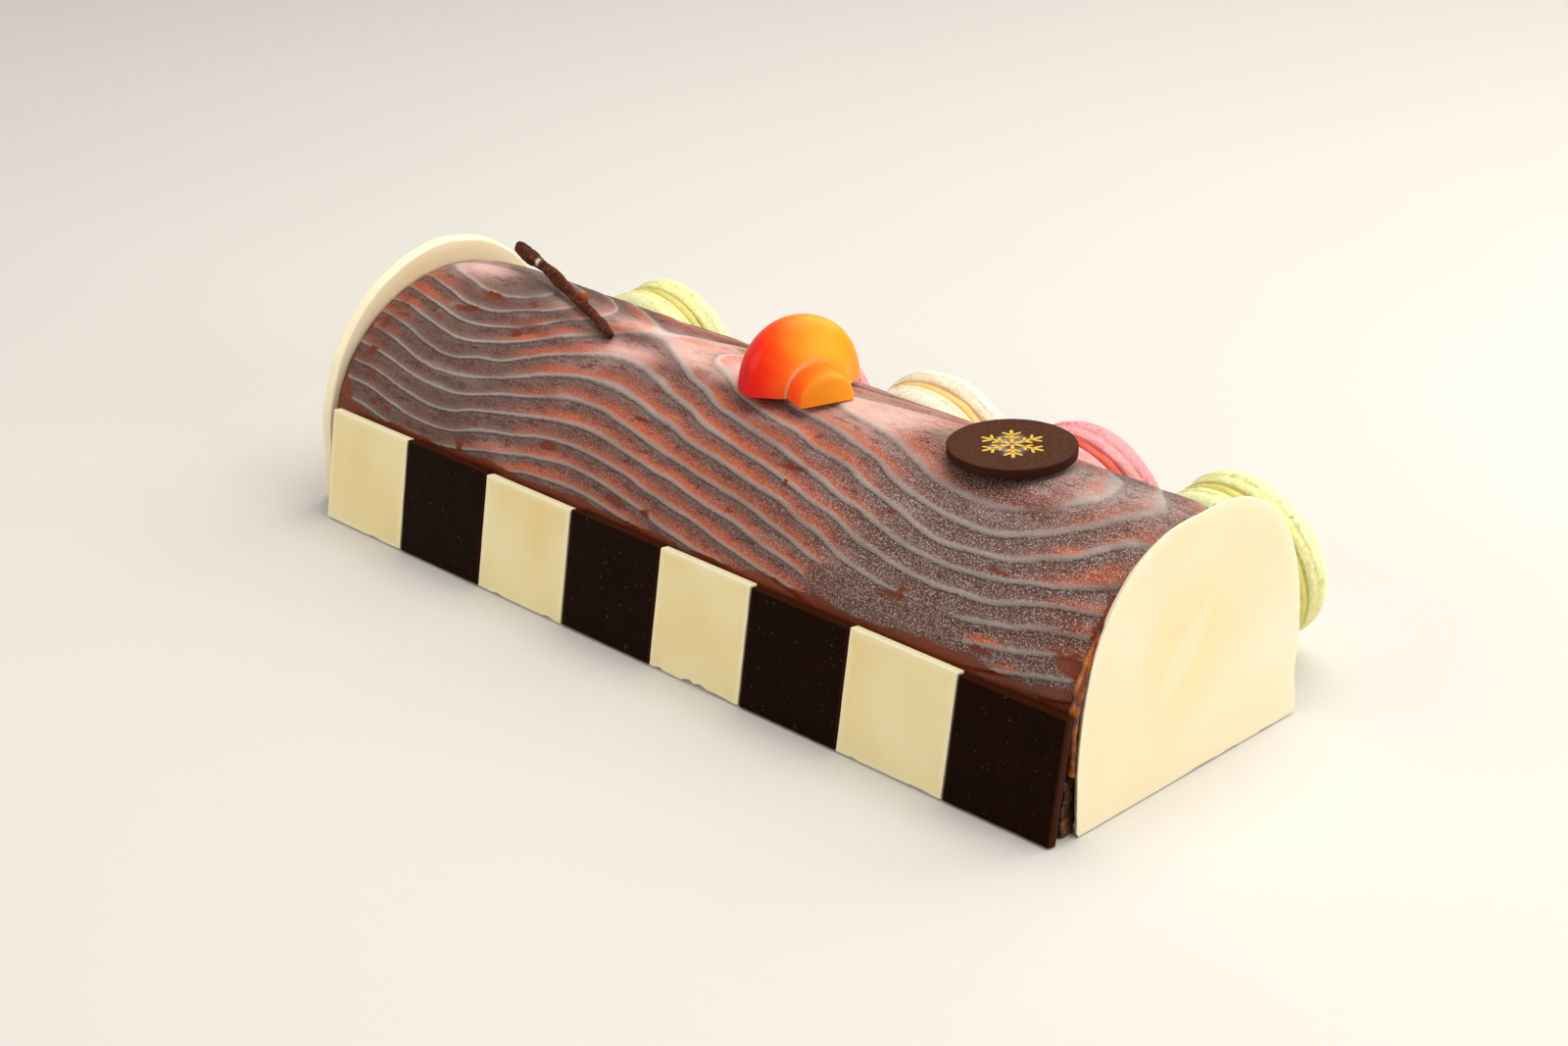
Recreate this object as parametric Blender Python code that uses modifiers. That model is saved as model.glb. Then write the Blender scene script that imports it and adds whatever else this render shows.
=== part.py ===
"""Yule log cake: a glazed loaf with moulded wood grain between two arched
end plates of white chocolate, a row of leaning chocolate squares along the
front, five macarons standing behind, and a mushroom, a disc and a twig on top.

Metres, +Z up.  +X runs along the log, -Y is its front.  The origin is the
centre of the log's foot, on the surface it stands on.
"""
import math

import bmesh
import bpy
from mathutils import Euler, Matrix, Vector, noise

MM = 0.001
GAP = 0.3 * MM                     # left between pieces that rest on each other

# the loaf, across: straight sides, then a rounded arch
HALF_WIDTH = 45.0 * MM
SHOULDER = 26.0 * MM               # height where the arch starts
CREST = 67.4 * MM
ROUNDNESS = 1.9                    # exponent of the arch, 2 would be an ellipse
END_ROLL = 2.6 * MM                # how far the loaf draws in at its ends
END_ROLL_LENGTH = 5.0 * MM

# the loaf, along: between the two end plates, which lean inward
LEFT_THICK = 2.9 * MM
RIGHT_THICK = 2.4 * MM
PLATE_SLANT = 0.9 * MM             # the side towards the loaf is cut smaller
LEFT_FOOT = -145.9 * MM            # outer face of the left plate at its foot
LEFT_LEAN = 5.0 * MM               # how far its top stands inward
RIGHT_FOOT = 145.9 * MM
RIGHT_LEAN = 1.6 * MM
PLATE_TOP = 73.5 * MM

# biscuit layer under the loaf
BISCUIT_TOP = 15.0 * MM
BISCUIT_CRUMB = 0.9 * MM

# moulded wood grain: ridges a few millimetres apart that swell round two
# knots on the crest; all of this in millimetres
GRAIN_PITCH = 5.81
GRAIN_START = 0.149
GRAIN_SLOPE = 0.00218
CREST_SOFTNESS = 6.0
SWELLS = (                         # lift, centre along, centre round, half sizes
    (-3.23, -43.6, 105.4, 41.2, 30.5),
    (2.50, 90.9, 63.7, 49.3, 76.4),
    (1.33, -101.4, 80.5, 27.9, 29.3),
    (-1.73, -34.8, 8.4, 33.0, 54.9),
    (0.46, -96.8, 41.6, 20.6, 27.5),
    (-2.51, 121.6, 98.0, 63.8, 12.4),
    (-2.17, 123.5, 82.2, 50.0, 12.8),
    (1.96, 108.1, 83.7, 35.0, 14.4),
)
GRAIN_DEPTH = 0.9                  # ridge to groove

# squares along the front: joints from left to right, and the lean
SQUARE_JOINTS = tuple(x * MM for x in
                      (-134.4, -99.8, -65.1, -29.6, 5.7, 39.8, 74.5, 110.6, 144.8))
SQUARE_FRONT = 53.6 * MM           # distance of their foot in front of the axis
SQUARE_HEIGHT = 33.4 * MM
SQUARE_THICK = 2.8 * MM
SQUARE_LEAN = math.radians(9.2)

# macarons behind the log: centre, lean towards the log, turn, radius
MACARONS = (
    ("macaron_1", (-107.6, 60.1, 25.2), 4.5, -0.8, 24.6, "green"),
    ("macaron_2", (-47.5, 60.5, 25.3), 8.0, 2.0, 24.6, "pink"),
    ("macaron_3", (5.8, 60.9, 25.3), 8.0, -4.7, 24.6, "cream"),
    ("macaron_4", (60.2, 61.1, 25.4), 12.6, 1.3, 24.6, "pink"),
    ("macaron_5", (112.7, 61.5, 25.9), 12.3, 5.0, 24.6, "green"),
)
FILLING_HALF = 1.5 * MM

COLOURS = {
    "white_chocolate": ((0.93, 0.84, 0.62), 0.38),
    "dark_chocolate": ((0.022, 0.010, 0.006), 0.34),
    "glaze": ((0.30, 0.19, 0.17), 0.55),
    "biscuit": ((0.36, 0.19, 0.08), 0.85),
    "green": ((0.92, 0.88, 0.45), 0.62),
    "cream": ((0.95, 0.89, 0.72), 0.62),
    "pink": ((0.94, 0.60, 0.58), 0.62),
    "green_filling": ((0.76, 0.68, 0.16), 0.6),
    "cream_filling": ((0.93, 0.70, 0.28), 0.6),
    "pink_filling": ((0.86, 0.21, 0.15), 0.6),
    "orange_chocolate": ((0.95, 0.28, 0.05), 0.3),
    "twig_chocolate": ((0.060, 0.018, 0.008), 0.4),
    "disc_chocolate": ((0.11, 0.050, 0.026), 0.7),
}


def clear_scene():
    for obj in list(bpy.data.objects):
        bpy.data.objects.remove(obj, do_unlink=True)
    for block in (bpy.data.meshes, bpy.data.curves, bpy.data.materials):
        for item in list(block):
            block.remove(item)


clear_scene()
CAKE = bpy.data.collections.new("yule_log_cake")
CUTTERS = bpy.data.collections.new("cutters")
for coll in (CAKE, CUTTERS):
    bpy.context.scene.collection.children.link(coll)


def material(name):
    mat = bpy.data.materials.get(name)
    if mat is None:
        colour, rough = COLOURS[name]
        mat = bpy.data.materials.new(name)
        mat.use_nodes = True
        shader = mat.node_tree.nodes["Principled BSDF"]
        shader.inputs["Base Color"].default_value = (*colour, 1.0)
        shader.inputs["Roughness"].default_value = rough
    return mat


def place(obj, name, look, cutter=False):
    """Name an object, give it its look and put it in its collection."""
    obj.name = name
    if obj.data:
        obj.data.name = name
    for coll in list(obj.users_collection):
        coll.objects.unlink(obj)
    (CUTTERS if cutter else CAKE).objects.link(obj)
    if look:
        obj.data.materials.clear()
        obj.data.materials.append(material(look))
    if cutter:
        obj.hide_render = True
        obj.display_type = "WIRE"
    return obj


def mesh_object(bm, name, look, cutter=False):
    bmesh.ops.recalc_face_normals(bm, faces=bm.faces)
    mesh = bpy.data.meshes.new(name)
    bm.to_mesh(mesh)
    bm.free()
    return place(bpy.data.objects.new(name, mesh), name, look, cutter)


def apply_all(obj):
    """Turn an object with its modifiers into a plain mesh object in place."""
    graph = bpy.context.evaluated_depsgraph_get()
    graph.update()
    mesh = bpy.data.meshes.new_from_object(obj.evaluated_get(graph))
    mats = [m for m in obj.data.materials]
    old = obj.data
    if obj.type != "MESH":
        new = bpy.data.objects.new(obj.name + "_mesh", mesh)
        new.matrix_world = obj.matrix_world
        for coll in list(obj.users_collection):
            coll.objects.link(new)
        name = obj.name
        bpy.data.objects.remove(obj, do_unlink=True)
        new.name = name
        obj = new
    else:
        obj.modifiers.clear()
        obj.data = mesh
        bpy.data.meshes.remove(old)
    if not obj.data.materials:
        for m in mats:
            obj.data.materials.append(m)
    weld(obj)
    return obj


def weld(obj):
    bm = bmesh.new()
    bm.from_mesh(obj.data)
    bmesh.ops.remove_doubles(bm, verts=bm.verts, dist=1e-6)
    bmesh.ops.recalc_face_normals(bm, faces=bm.faces)
    bm.to_mesh(obj.data)
    bm.free()


def unevenness(point, size, seed):
    """Smooth noise between about -1 and 1 with features of the given size."""
    return noise.noise(Vector(point) / size + Vector((seed * 7.31, seed * 3.17, seed * 1.93)))


def roughen(obj, amount, size, seed, keep=None):
    """Push each vertex along its normal by smooth noise, as on baked food."""
    mesh = obj.data
    normals = [v.normal.copy() for v in mesh.vertices]
    for v, n in zip(mesh.vertices, normals):
        if keep and keep(v.co):
            continue
        v.co += n * (amount * unevenness(v.co, size, seed))


def smooth(obj, angle=40.0):
    obj.data.shade_smooth()
    obj.data.set_sharp_from_angle(angle=math.radians(angle))


# the loaf's section and its grain

def section_points(count=600):
    """The loaf's outline from the front foot over the crest to the back foot."""
    pts = [(-HALF_WIDTH, 0.0)]
    power = 2.0 / ROUNDNESS
    for i in range(count + 1):
        t = math.pi * i / count
        c, s = math.cos(t), math.sin(t)
        pts.append((-HALF_WIDTH * math.copysign(abs(c) ** power, c),
                    SHOULDER + (CREST - SHOULDER) * abs(s) ** power))
    pts.append((HALF_WIDTH, 0.0))
    return pts


SECTION = section_points()
ROUND = [0.0]                      # distance round the section at each point
for a, b in zip(SECTION, SECTION[1:]):
    ROUND.append(ROUND[-1] + math.hypot(b[0] - a[0], b[1] - a[1]))
HALF_ROUND = ROUND[-1] / 2


def on_section(u):
    """Point and outward normal at distance u round the section."""
    lo, hi = 0, len(ROUND) - 2
    while lo < hi:
        mid = (lo + hi + 1) // 2
        if ROUND[mid] <= u:
            lo = mid
        else:
            hi = mid - 1
    (y0, z0), (y1, z1) = SECTION[lo], SECTION[lo + 1]
    step = ROUND[lo + 1] - ROUND[lo]
    t = (u - ROUND[lo]) / step
    dy, dz = (y1 - y0) / step, (z1 - z0) / step
    return (y0 + t * (y1 - y0), z0 + t * (z1 - z0)), (-dz, dy)


def grain(x, u):
    """Number of the grain line at a place on the loaf, x and u in metres."""
    xm, um, mid = x / MM, u / MM, HALF_ROUND / MM
    w = mid - (math.hypot(um - mid, CREST_SOFTNESS) - CREST_SOFTNESS)
    value = (w - 36.0) / GRAIN_PITCH + GRAIN_START + GRAIN_SLOPE * xm
    for lift, cx, cu, hx, hu in SWELLS:
        value += lift * math.exp(-((xm - cx) / hx) ** 2 - ((w - cu) / hu) ** 2)
    return value


def ridge(phase):
    """Height of the grain, 0 to 1: a step below each line, a slope above it."""
    p = phase - math.floor(phase)
    if p > 0.84:
        return 0.5 - 0.5 * math.cos(math.pi * (p - 0.84) / 0.16)
    return 0.5 + 0.5 * math.cos(math.pi * p / 0.84)


def left_end(z):
    return LEFT_FOOT + LEFT_LEAN * z / PLATE_TOP + LEFT_THICK + GAP


def right_end(z):
    return RIGHT_FOOT - RIGHT_LEAN * z / PLATE_TOP - RIGHT_THICK - GAP


def build_log():
    """A grid bent round the section, pushed out by the grain, closed at its ends."""
    foot = BISCUIT_TOP + GAP
    rows = [foot, 22.0 * MM, 29.0 * MM]
    u, last = 33.0 * MM, 2 * HALF_ROUND
    while u < last - 33.0 * MM:
        rows.append(u)
        u += 2.05 * MM
    rows += [last - 29.0 * MM, last - 22.0 * MM, last - foot, foot]
    ends = (0.0, 0.006, 0.018, 0.036)
    inner = 36
    cols = list(ends) + [0.036 + (1 - 0.072) * i / inner for i in range(1, inner)] \
        + [1 - e for e in reversed(ends)]
    bm = bmesh.new()
    bmesh.ops.create_grid(bm, x_segments=len(cols) - 1, y_segments=len(rows) - 1, size=0.5)
    level = {}
    for v in bm.verts:
        i = round((v.co.x + 0.5) * (len(cols) - 1))
        j = round((v.co.y + 0.5) * (len(rows) - 1))
        (y, z), (ny, nz) = on_section(rows[j])
        length = right_end(z) - left_end(z)
        x = left_end(z) + cols[i] * length
        level[v] = grain(x, rows[j])
        push = -END_ROLL * (math.exp(-cols[i] * length / END_ROLL_LENGTH)
                            + math.exp((cols[i] - 1) * length / END_ROLL_LENGTH))
        if 0 < i < len(cols) - 1 and 2 < j < len(rows) - 4:
            push += GRAIN_DEPTH * MM * (ridge(level[v]) - 0.5)
        y, z = y + ny * push, z + nz * push
        v.co = (left_end(z) + cols[i] * (right_end(z) - left_end(z)), y, z)
    # cut each cell along the diagonal that runs with the grain
    for face in list(bm.faces):
        a, b, c, d = face.verts
        if abs(level[a] - level[c]) <= abs(level[b] - level[d]):
            bmesh.utils.face_split(face, a, c)
        else:
            bmesh.utils.face_split(face, b, d)
    bmesh.ops.remove_doubles(bm, verts=bm.verts, dist=1e-6)
    bmesh.ops.holes_fill(bm, edges=[e for e in bm.edges if e.is_boundary], sides=0)
    obj = mesh_object(bm, "log", "glaze")
    smooth(obj, 50)
    return obj


def build_biscuit():
    """Crumbly layer under the loaf; its front follows the leaning squares."""
    bm = bmesh.new()
    bmesh.ops.create_cube(bm, size=1.0)
    cuts = 32
    along = [e for e in bm.edges if abs(e.verts[0].co.x - e.verts[1].co.x) > 0.5]
    bmesh.ops.subdivide_edges(bm, edges=along, cuts=cuts, use_grid_fill=True)
    up = [e for e in bm.edges if abs(e.verts[0].co.z - e.verts[1].co.z) > 0.5]
    bmesh.ops.subdivide_edges(bm, edges=up, cuts=2, use_grid_fill=True)
    for v in bm.verts:
        z = (v.co.z + 0.5) * BISCUIT_TOP
        front = v.co.y < 0
        x = left_end(z) + (v.co.x + 0.5) * (right_end(z) - left_end(z))
        y = (-48.2 * MM + 0.11 * z) if front else 45.0 * MM
        if 0.1 * MM < z:
            rough = BISCUIT_CRUMB * unevenness((x, y, z), 6.0 * MM, 3)
            y += rough if front else 0.5 * rough
        v.co = (x, y, z)
    obj = mesh_object(bm, "biscuit_base", "biscuit")
    return obj


# end plates

def plate_outline(half_width, shoulder, top, power, skew, seed, chips):
    """Arched outline of an end plate, cut by hand and a little nibbled."""
    pts = []
    count = 40
    arch = top - shoulder
    for i in range(count + 1):
        t = math.pi * i / count
        c, s = math.cos(t), math.sin(t)
        y = half_width * math.copysign(abs(c) ** (2 / power), c)
        z = shoulder + arch * abs(s) ** (2 / power)
        pts.append([y + skew * (z - shoulder) / arch, z])
    side = 4
    start = [[half_width, shoulder * (k + 1) / (side + 1)] for k in range(side)]
    finish = [[-half_width, shoulder * (1 - (k + 1) / (side + 1))] for k in range(side)]
    corner = 2.4 * MM
    foot_right = [[half_width - corner, 0.0], [half_width - 0.7 * MM, 0.7 * MM]]
    foot_left = [[-half_width + 0.7 * MM, 0.7 * MM], [-half_width + corner, 0.0]]
    outline = foot_right + start + pts + finish + foot_left
    for q in outline:
        if q[1] > 0.0:
            away = Vector((q[0], q[1] - 0.5 * shoulder)).normalized()
            bump = 0.3 * MM * unevenness((q[0], q[1], 0), 9 * MM, seed)
            for cy, cz, reach, depth in chips:
                near = math.hypot(q[0] - cy, q[1] - cz) / reach
                if near < 1:
                    bump -= depth * (1 - near * near)
            q[0] += away.x * bump
            q[1] += away.y * bump
    return outline


def build_plate(name, outline, foot_x, thick, lean, facing):
    curve = bpy.data.curves.new(name, "CURVE")
    curve.dimensions = "2D"
    curve.fill_mode = "BOTH"
    curve.extrude = thick / 2
    spline = curve.splines.new("POLY")
    spline.points.add(len(outline) - 1)
    for p, (y, z) in zip(spline.points, outline):
        p.co = (y, z, 0.0, 1.0)
    spline.use_cyclic_u = True
    obj = place(bpy.data.objects.new(name, curve), name, "white_chocolate")
    obj = apply_all(obj)
    for v in obj.data.vertices:
        if v.co.z * facing < 0 and v.co.y > 0.5 * MM:
            inward = Vector((-v.co.x, 0.35 * PLATE_TOP - v.co.y, 0.0)).normalized()
            v.co += inward * PLATE_SLANT
    bevel = obj.modifiers.new("soft_edge", "BEVEL")
    bevel.width = 0.7 * MM
    bevel.segments = 2
    bevel.limit_method = "ANGLE"
    bevel.angle_limit = math.radians(50)
    obj = apply_all(obj)
    # stand the outline up: its drawing plane becomes the YZ plane
    tilt = math.atan2(lean, PLATE_TOP)
    upright = Matrix(((0, 0, 1), (1, 0, 0), (0, 1, 0))).to_4x4()
    turn = Matrix.Rotation(facing * -tilt, 4, "Y")
    lift = thick * math.sin(tilt)
    obj.data.transform(Matrix.Translation((foot_x - facing * thick / 2, 0, lift))
                       @ turn @ upright)
    low = min(v.co.z for v in obj.data.vertices)
    for v in obj.data.vertices:
        if v.co.z < low + 0.3 * MM:
            v.co.z = 0.0
    weld(obj)
    smooth(obj, 35)
    return obj


# squares along the front

def build_square(index):
    left, right = SQUARE_JOINTS[index], SQUARE_JOINTS[index + 1]
    name = "square_%d" % (index + 1)
    bpy.ops.mesh.primitive_cube_add(size=1.0)
    obj = place(bpy.context.object, name,
                "white_chocolate" if index % 2 == 0 else "dark_chocolate")
    width = right - left - 0.35 * MM
    height = SQUARE_HEIGHT + 0.25 * MM * math.sin(index * 2.3)
    obj.data.transform(Matrix.Translation((0, 0.5 * SQUARE_THICK, 0.5 * height))
                       @ Matrix.Diagonal((width, SQUARE_THICK, height, 1.0)))
    bevel = obj.modifiers.new("soft_edge", "BEVEL")
    bevel.width = 0.35 * MM
    bevel.segments = 1
    lift = SQUARE_THICK * math.sin(SQUARE_LEAN) + 0.05 * MM
    obj.location = ((left + right) / 2, -SQUARE_FRONT, lift)
    turn = math.radians((0.0, 0.15, -0.2, 0.1, -0.1, 0.2, -0.15, 0.35)[index])
    obj.rotation_euler = Euler((-SQUARE_LEAN, 0.0, turn))
    smooth(obj, 35)
    return obj


# turned pieces

def turned(name, profile, look, segments):
    """Screw a profile (radius, height), given top to bottom, round Z."""
    mesh = bpy.data.meshes.new(name)
    bm = bmesh.new()
    verts = [bm.verts.new((max(r, 0.0), 0.0, z)) for r, z in profile]
    for a, b in zip(verts, verts[1:]):
        bm.edges.new((a, b))
    bm.to_mesh(mesh)
    bm.free()
    obj = place(bpy.data.objects.new(name, mesh), name, look)
    screw = obj.modifiers.new("turn", "SCREW")
    screw.axis = "Z"
    screw.angle = 2 * math.pi
    screw.steps = segments
    screw.render_steps = segments
    screw.use_merge_vertices = True
    screw.merge_threshold = 0.00002
    return apply_all(obj)


def shell_profile(radius):
    """Macaron shell, crown first: flat dome, straight side, ruffled foot."""
    crown = ((0.0, 13.7), (0.46, 13.4), (0.73, 12.4), (0.89, 10.7), (0.965, 8.2),
             (0.985, 5.6), (1.005, 4.6), (1.005, 3.0), (0.97, 1.9))
    pts = [(k * radius, h * MM) for k, h in crown]
    pts.append((0.0, 1.9 * MM))
    return pts


def build_macaron(name, centre, lean, turn, radius, flavour, seed):
    radius *= MM
    axis = Euler((math.radians(lean - 90.0), 0.0, math.radians(-turn)))
    spot = Matrix.Translation(Vector(centre) * MM) @ axis.to_matrix().to_4x4()
    for side, label in ((1, "outer"), (-1, "inner")):
        obj = turned("%s_%s" % (name, label), shell_profile(radius), flavour, 22)

        def foot_ruffle(co):
            ring = math.hypot(co.x, co.y)
            return ring < 0.1 * radius or co.z < 2.0 * MM

        roughen(obj, 0.45 * MM, 7.0 * MM, seed + side, keep=foot_ruffle)
        for v in obj.data.vertices:
            ring = math.hypot(v.co.x, v.co.y)
            if ring > 0.99 * radius and 2.5 * MM < v.co.z < 5.0 * MM:
                t = math.atan2(v.co.y, v.co.x)
                k = 1 + 0.010 * math.sin(9 * t + seed) + 0.008 * math.sin(17 * t + 2 * seed)
                v.co.x *= k
                v.co.y *= k
        flip = Matrix.Rotation(math.pi, 4, "X") if side < 0 else Matrix.Identity(4)
        obj.data.transform(spot @ flip)
        obj.data.update()
        smooth(obj, 45)
    cream = [(0.0, FILLING_HALF), (0.93 * radius, FILLING_HALF), (0.955 * radius, 0.0),
             (0.93 * radius, -FILLING_HALF), (0.0, -FILLING_HALF)]
    obj = turned(name + "_filling", cream, flavour + "_filling", 22)
    obj.data.transform(spot)
    obj.data.update()
    smooth(obj, 45)


# mushroom on the crest: half of a turned cap and stem, lying on its cut side

CAP_RADIUS = 17.5 * MM
CAP_HEIGHT = 1.10                  # the half stands a little taller than it is wide
CAP_DEPTH = 15.5 * MM              # from the widest ring to the pole
CAP_CENTRE = Vector((12.6, -1.2, 68.2)) * MM
CAP_TURN = math.radians(-19.6)     # heading of the stem, from +X
STEM_RADIUS = 8.3 * MM
STEM_START = 8.0 * MM              # where the stem meets the cap
STEM_FACE = 15.9 * MM              # distance of the stem's end from the cap's centre


def half_turned(name, profile, look, segments):
    """Turn a profile, lay its axis along X and cut away the lower half."""
    obj = turned(name, profile, look, segments)
    lay = Matrix.Rotation(math.pi / 2, 4, "Y")
    obj.data.transform(Matrix.Translation(CAP_CENTRE)
                       @ Matrix.Rotation(CAP_TURN, 4, "Z")
                       @ Matrix.Scale(CAP_HEIGHT if name.endswith("cap") else 1.0, 4, (0, 0, 1))
                       @ lay)
    bpy.ops.mesh.primitive_cube_add(size=0.1)
    box = place(bpy.context.object, name + "_cut", None, cutter=True)
    box.location = (CAP_CENTRE.x, CAP_CENTRE.y, CAP_CENTRE.z - 0.05)
    cut = obj.modifiers.new("flat_side", "BOOLEAN")
    cut.operation = "DIFFERENCE"
    cut.object = box
    bpy.context.view_layer.update()
    obj = apply_all(obj)
    smooth(obj, 40)
    return obj


def build_mushroom():
    r = CAP_RADIUS
    # gills' side first, a cone that rounds over into the lip, then the dome
    pts = [(0.0, STEM_START - 0.2 * MM), (STEM_RADIUS, STEM_START - 0.2 * MM),
           (10.4 * MM, 6.9 * MM), (13.0 * MM, 4.9 * MM), (15.2 * MM, 3.3 * MM),
           (16.7 * MM, 1.8 * MM)]
    for i in range(10):
        t = math.radians(10.0 * i)
        pts.append((r * math.cos(t), -CAP_DEPTH * math.sin(t)))
    pts[-1] = (0.0, -CAP_DEPTH)
    half_turned("mushroom_cap", pts, "orange_chocolate", 36)
    f, s = STEM_FACE, STEM_START
    stem = [(0.0, f), (STEM_RADIUS - 0.5 * MM, f), (STEM_RADIUS, f - 0.6 * MM),
            (STEM_RADIUS - 0.2 * MM, f - 3.5 * MM),
            (STEM_RADIUS - 0.1 * MM, s + GAP), (0.0, s + GAP)]
    half_turned("mushroom_stem", stem, "orange_chocolate", 32)


# disc on the crest

def build_disc():
    bpy.ops.mesh.primitive_cylinder_add(vertices=40, radius=16.8 * MM, depth=2.5 * MM)
    obj = place(bpy.context.object, "medallion", "disc_chocolate")
    bevel = obj.modifiers.new("soft_edge", "BEVEL")
    bevel.width = 0.3 * MM
    bevel.segments = 1
    bevel.limit_method = "ANGLE"
    obj.location = Vector((84.4, 1.3, 69.65)) * MM
    obj.rotation_euler = Euler((math.radians(0.6), math.radians(-0.6), 0.0))
    smooth(obj, 35)


# twig across the crest

TWIG_FOOT = Vector((-52.3, -11.6, 67.9))
TWIG_MID = Vector((-85.0, 2.0, 70.1))
TWIG_HEAD = Vector((-118.0, 12.2, 72.3))


def twig_point(t):
    """Smooth bend through the foot, the middle and the head."""
    a, b, c = TWIG_FOOT, TWIG_MID, TWIG_HEAD
    return a * ((1 - t) * (1 - 2 * t)) + b * (4 * t * (1 - t)) + c * (t * (2 * t - 1))


def build_twig():
    curve = bpy.data.curves.new("twig", "CURVE")
    curve.dimensions = "3D"
    curve.bevel_depth = 1.0 * MM
    curve.bevel_resolution = 2
    curve.use_fill_caps = True
    spline = curve.splines.new("POLY")
    count = 15
    spline.points.add(count - 1)
    for i, p in enumerate(spline.points):
        t = i / (count - 1)
        wobble = Vector((0, 1, 0.3)) * (0.25 * math.sin(11 * t))
        p.co = (*((twig_point(t) + wobble) * MM), 1.0)
        knob = 0.75 * math.exp(-((t - 0.90) / 0.09) ** 2)
        middle = 0.45 * math.exp(-((t - 0.60) / 0.16) ** 2)
        p.radius = 1.35 + knob + middle + 0.10 * math.sin(23 * t)
    obj = place(bpy.data.objects.new("twig", curve), "twig", "twig_chocolate")
    obj = apply_all(obj)
    for tag, t, size, push in (("head", 0.97, (3.4, 2.2, 2.0), (0.2, -0.4, 0.6)),
                               ("side", 0.37, (2.4, 1.5, 1.2), (1.2, 1.6, 0.2))):
        bpy.ops.mesh.primitive_ico_sphere_add(subdivisions=2, radius=1.0)
        knot = place(bpy.context.object, "twig_knot_" + tag, "twig_chocolate", cutter=True)
        knot.data.transform(Matrix.Diagonal((*[s * MM for s in size], 1.0)))
        roughen(knot, 0.5 * MM, 1.5 * MM, 5)
        knot.rotation_euler = Euler((0.0, 0.0, math.radians(158)))
        knot.location = (twig_point(t) + Vector(push)) * MM
        join = obj.modifiers.new("knot_" + tag, "BOOLEAN")
        join.operation = "UNION"
        join.object = knot
    bpy.context.view_layer.update()
    obj = apply_all(obj)
    smooth(obj, 45)


def main():
    build_log()
    build_biscuit()
    left = plate_outline(45.6 * MM, 23.7 * MM, PLATE_TOP - 0.4 * MM, 1.98, 0.0, 1,
                         ((-20.0 * MM, 69.0 * MM, 4.0 * MM, 0.3 * MM),))
    build_plate("end_plate_left", left, LEFT_FOOT, LEFT_THICK, LEFT_LEAN, -1)
    right = plate_outline(44.8 * MM, 15.7 * MM, PLATE_TOP - 2.5 * MM, 2.48, 2.7 * MM, 2,
                          ((44.8 * MM, 12.0 * MM, 6.0 * MM, 0.9 * MM),
                           (-35.0 * MM, 60.0 * MM, 4.0 * MM, 0.4 * MM)))
    build_plate("end_plate_right", right, RIGHT_FOOT, RIGHT_THICK, RIGHT_LEAN, 1)
    for i in range(len(SQUARE_JOINTS) - 1):
        build_square(i)
    for seed, (name, centre, lean, turn, radius, flavour) in enumerate(MACARONS):
        build_macaron(name, centre, lean, turn, radius, flavour, seed + 1)
    build_mushroom()
    build_disc()
    build_twig()


main()
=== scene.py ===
"""Yule log cake, dressed for its photograph.

Metres, +Z up, +X along the log, -Y its front; lengths below are in
millimetres and become metres where a mesh is made.
"""
import math

import bpy
import numpy as np
from mathutils import Euler, Matrix, Vector


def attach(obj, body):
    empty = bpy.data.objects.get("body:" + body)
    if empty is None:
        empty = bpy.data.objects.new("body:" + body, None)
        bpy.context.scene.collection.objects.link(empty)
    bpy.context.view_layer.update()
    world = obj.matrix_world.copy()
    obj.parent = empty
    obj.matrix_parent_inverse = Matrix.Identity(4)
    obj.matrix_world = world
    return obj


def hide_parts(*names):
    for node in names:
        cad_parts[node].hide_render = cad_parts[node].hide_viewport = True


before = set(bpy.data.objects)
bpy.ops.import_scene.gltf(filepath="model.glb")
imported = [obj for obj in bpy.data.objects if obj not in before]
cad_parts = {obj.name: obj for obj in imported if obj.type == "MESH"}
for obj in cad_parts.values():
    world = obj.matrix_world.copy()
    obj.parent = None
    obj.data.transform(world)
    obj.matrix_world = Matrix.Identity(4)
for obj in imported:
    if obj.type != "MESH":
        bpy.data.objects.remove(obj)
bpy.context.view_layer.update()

MM = 0.001

# the loaf's section and length, as in the solids
HALF_WIDTH, SHOULDER, CREST, ROUNDNESS = 45.0, 26.0, 67.4, 1.9
PLATE_TOP = 73.5
LEFT_FOOT, LEFT_LEAN, LEFT_THICK = -145.9, 5.0, 2.9
RIGHT_FOOT, RIGHT_LEAN, RIGHT_THICK = 145.9, 1.6, 2.4
GAP = 0.3
BISCUIT_TOP = 15.0
END_ROLL, END_ROLL_LENGTH = 2.6, 5.0
LOAF_ROW_STEP, LOAF_COLUMNS = 0.42, 288
GRAIN_FOOT = 33.0                    # distance round the section where the grain starts

# plates: half width, shoulder, top, roundness, skew; then how much smaller the back is cut
LEFT_PLATE, LEFT_SLANT = (45.6, 23.7, PLATE_TOP - 0.4, 1.98, 0.0), 0.9
RIGHT_PLATE, RIGHT_SLANT = (44.8, 15.7, PLATE_TOP - 2.5, 2.48, 2.7), 1.9
# nibbles out of each plate's edge: across, up, reach, depth
LEFT_NIBBLES = ((-20.0, 69.0, 4.0, 0.3),)
RIGHT_NIBBLES = ((44.8, 12.0, 6.0, 0.9), (-35.0, 60.0, 4.0, 0.4))
# a yellower oval and a pale streak shaped like a brush stroke, which is a painted highlight,
# on the right plate, in metres: centre, tilt, half sizes, colour, strength
PLATE_TINT_AND_HIGHLIGHT = (
    ((0.145, -0.0045, 0.035), -0.45, (0.03, 0.019, 0.025), "#f4dfa8", 0.6),
    # painted highlight, shaped like a brush stroke
    ((0.145, -0.0040, 0.0345), -0.75, (0.03, 0.0050, 0.0180), "#faeed0", 0.5),
)

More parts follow.
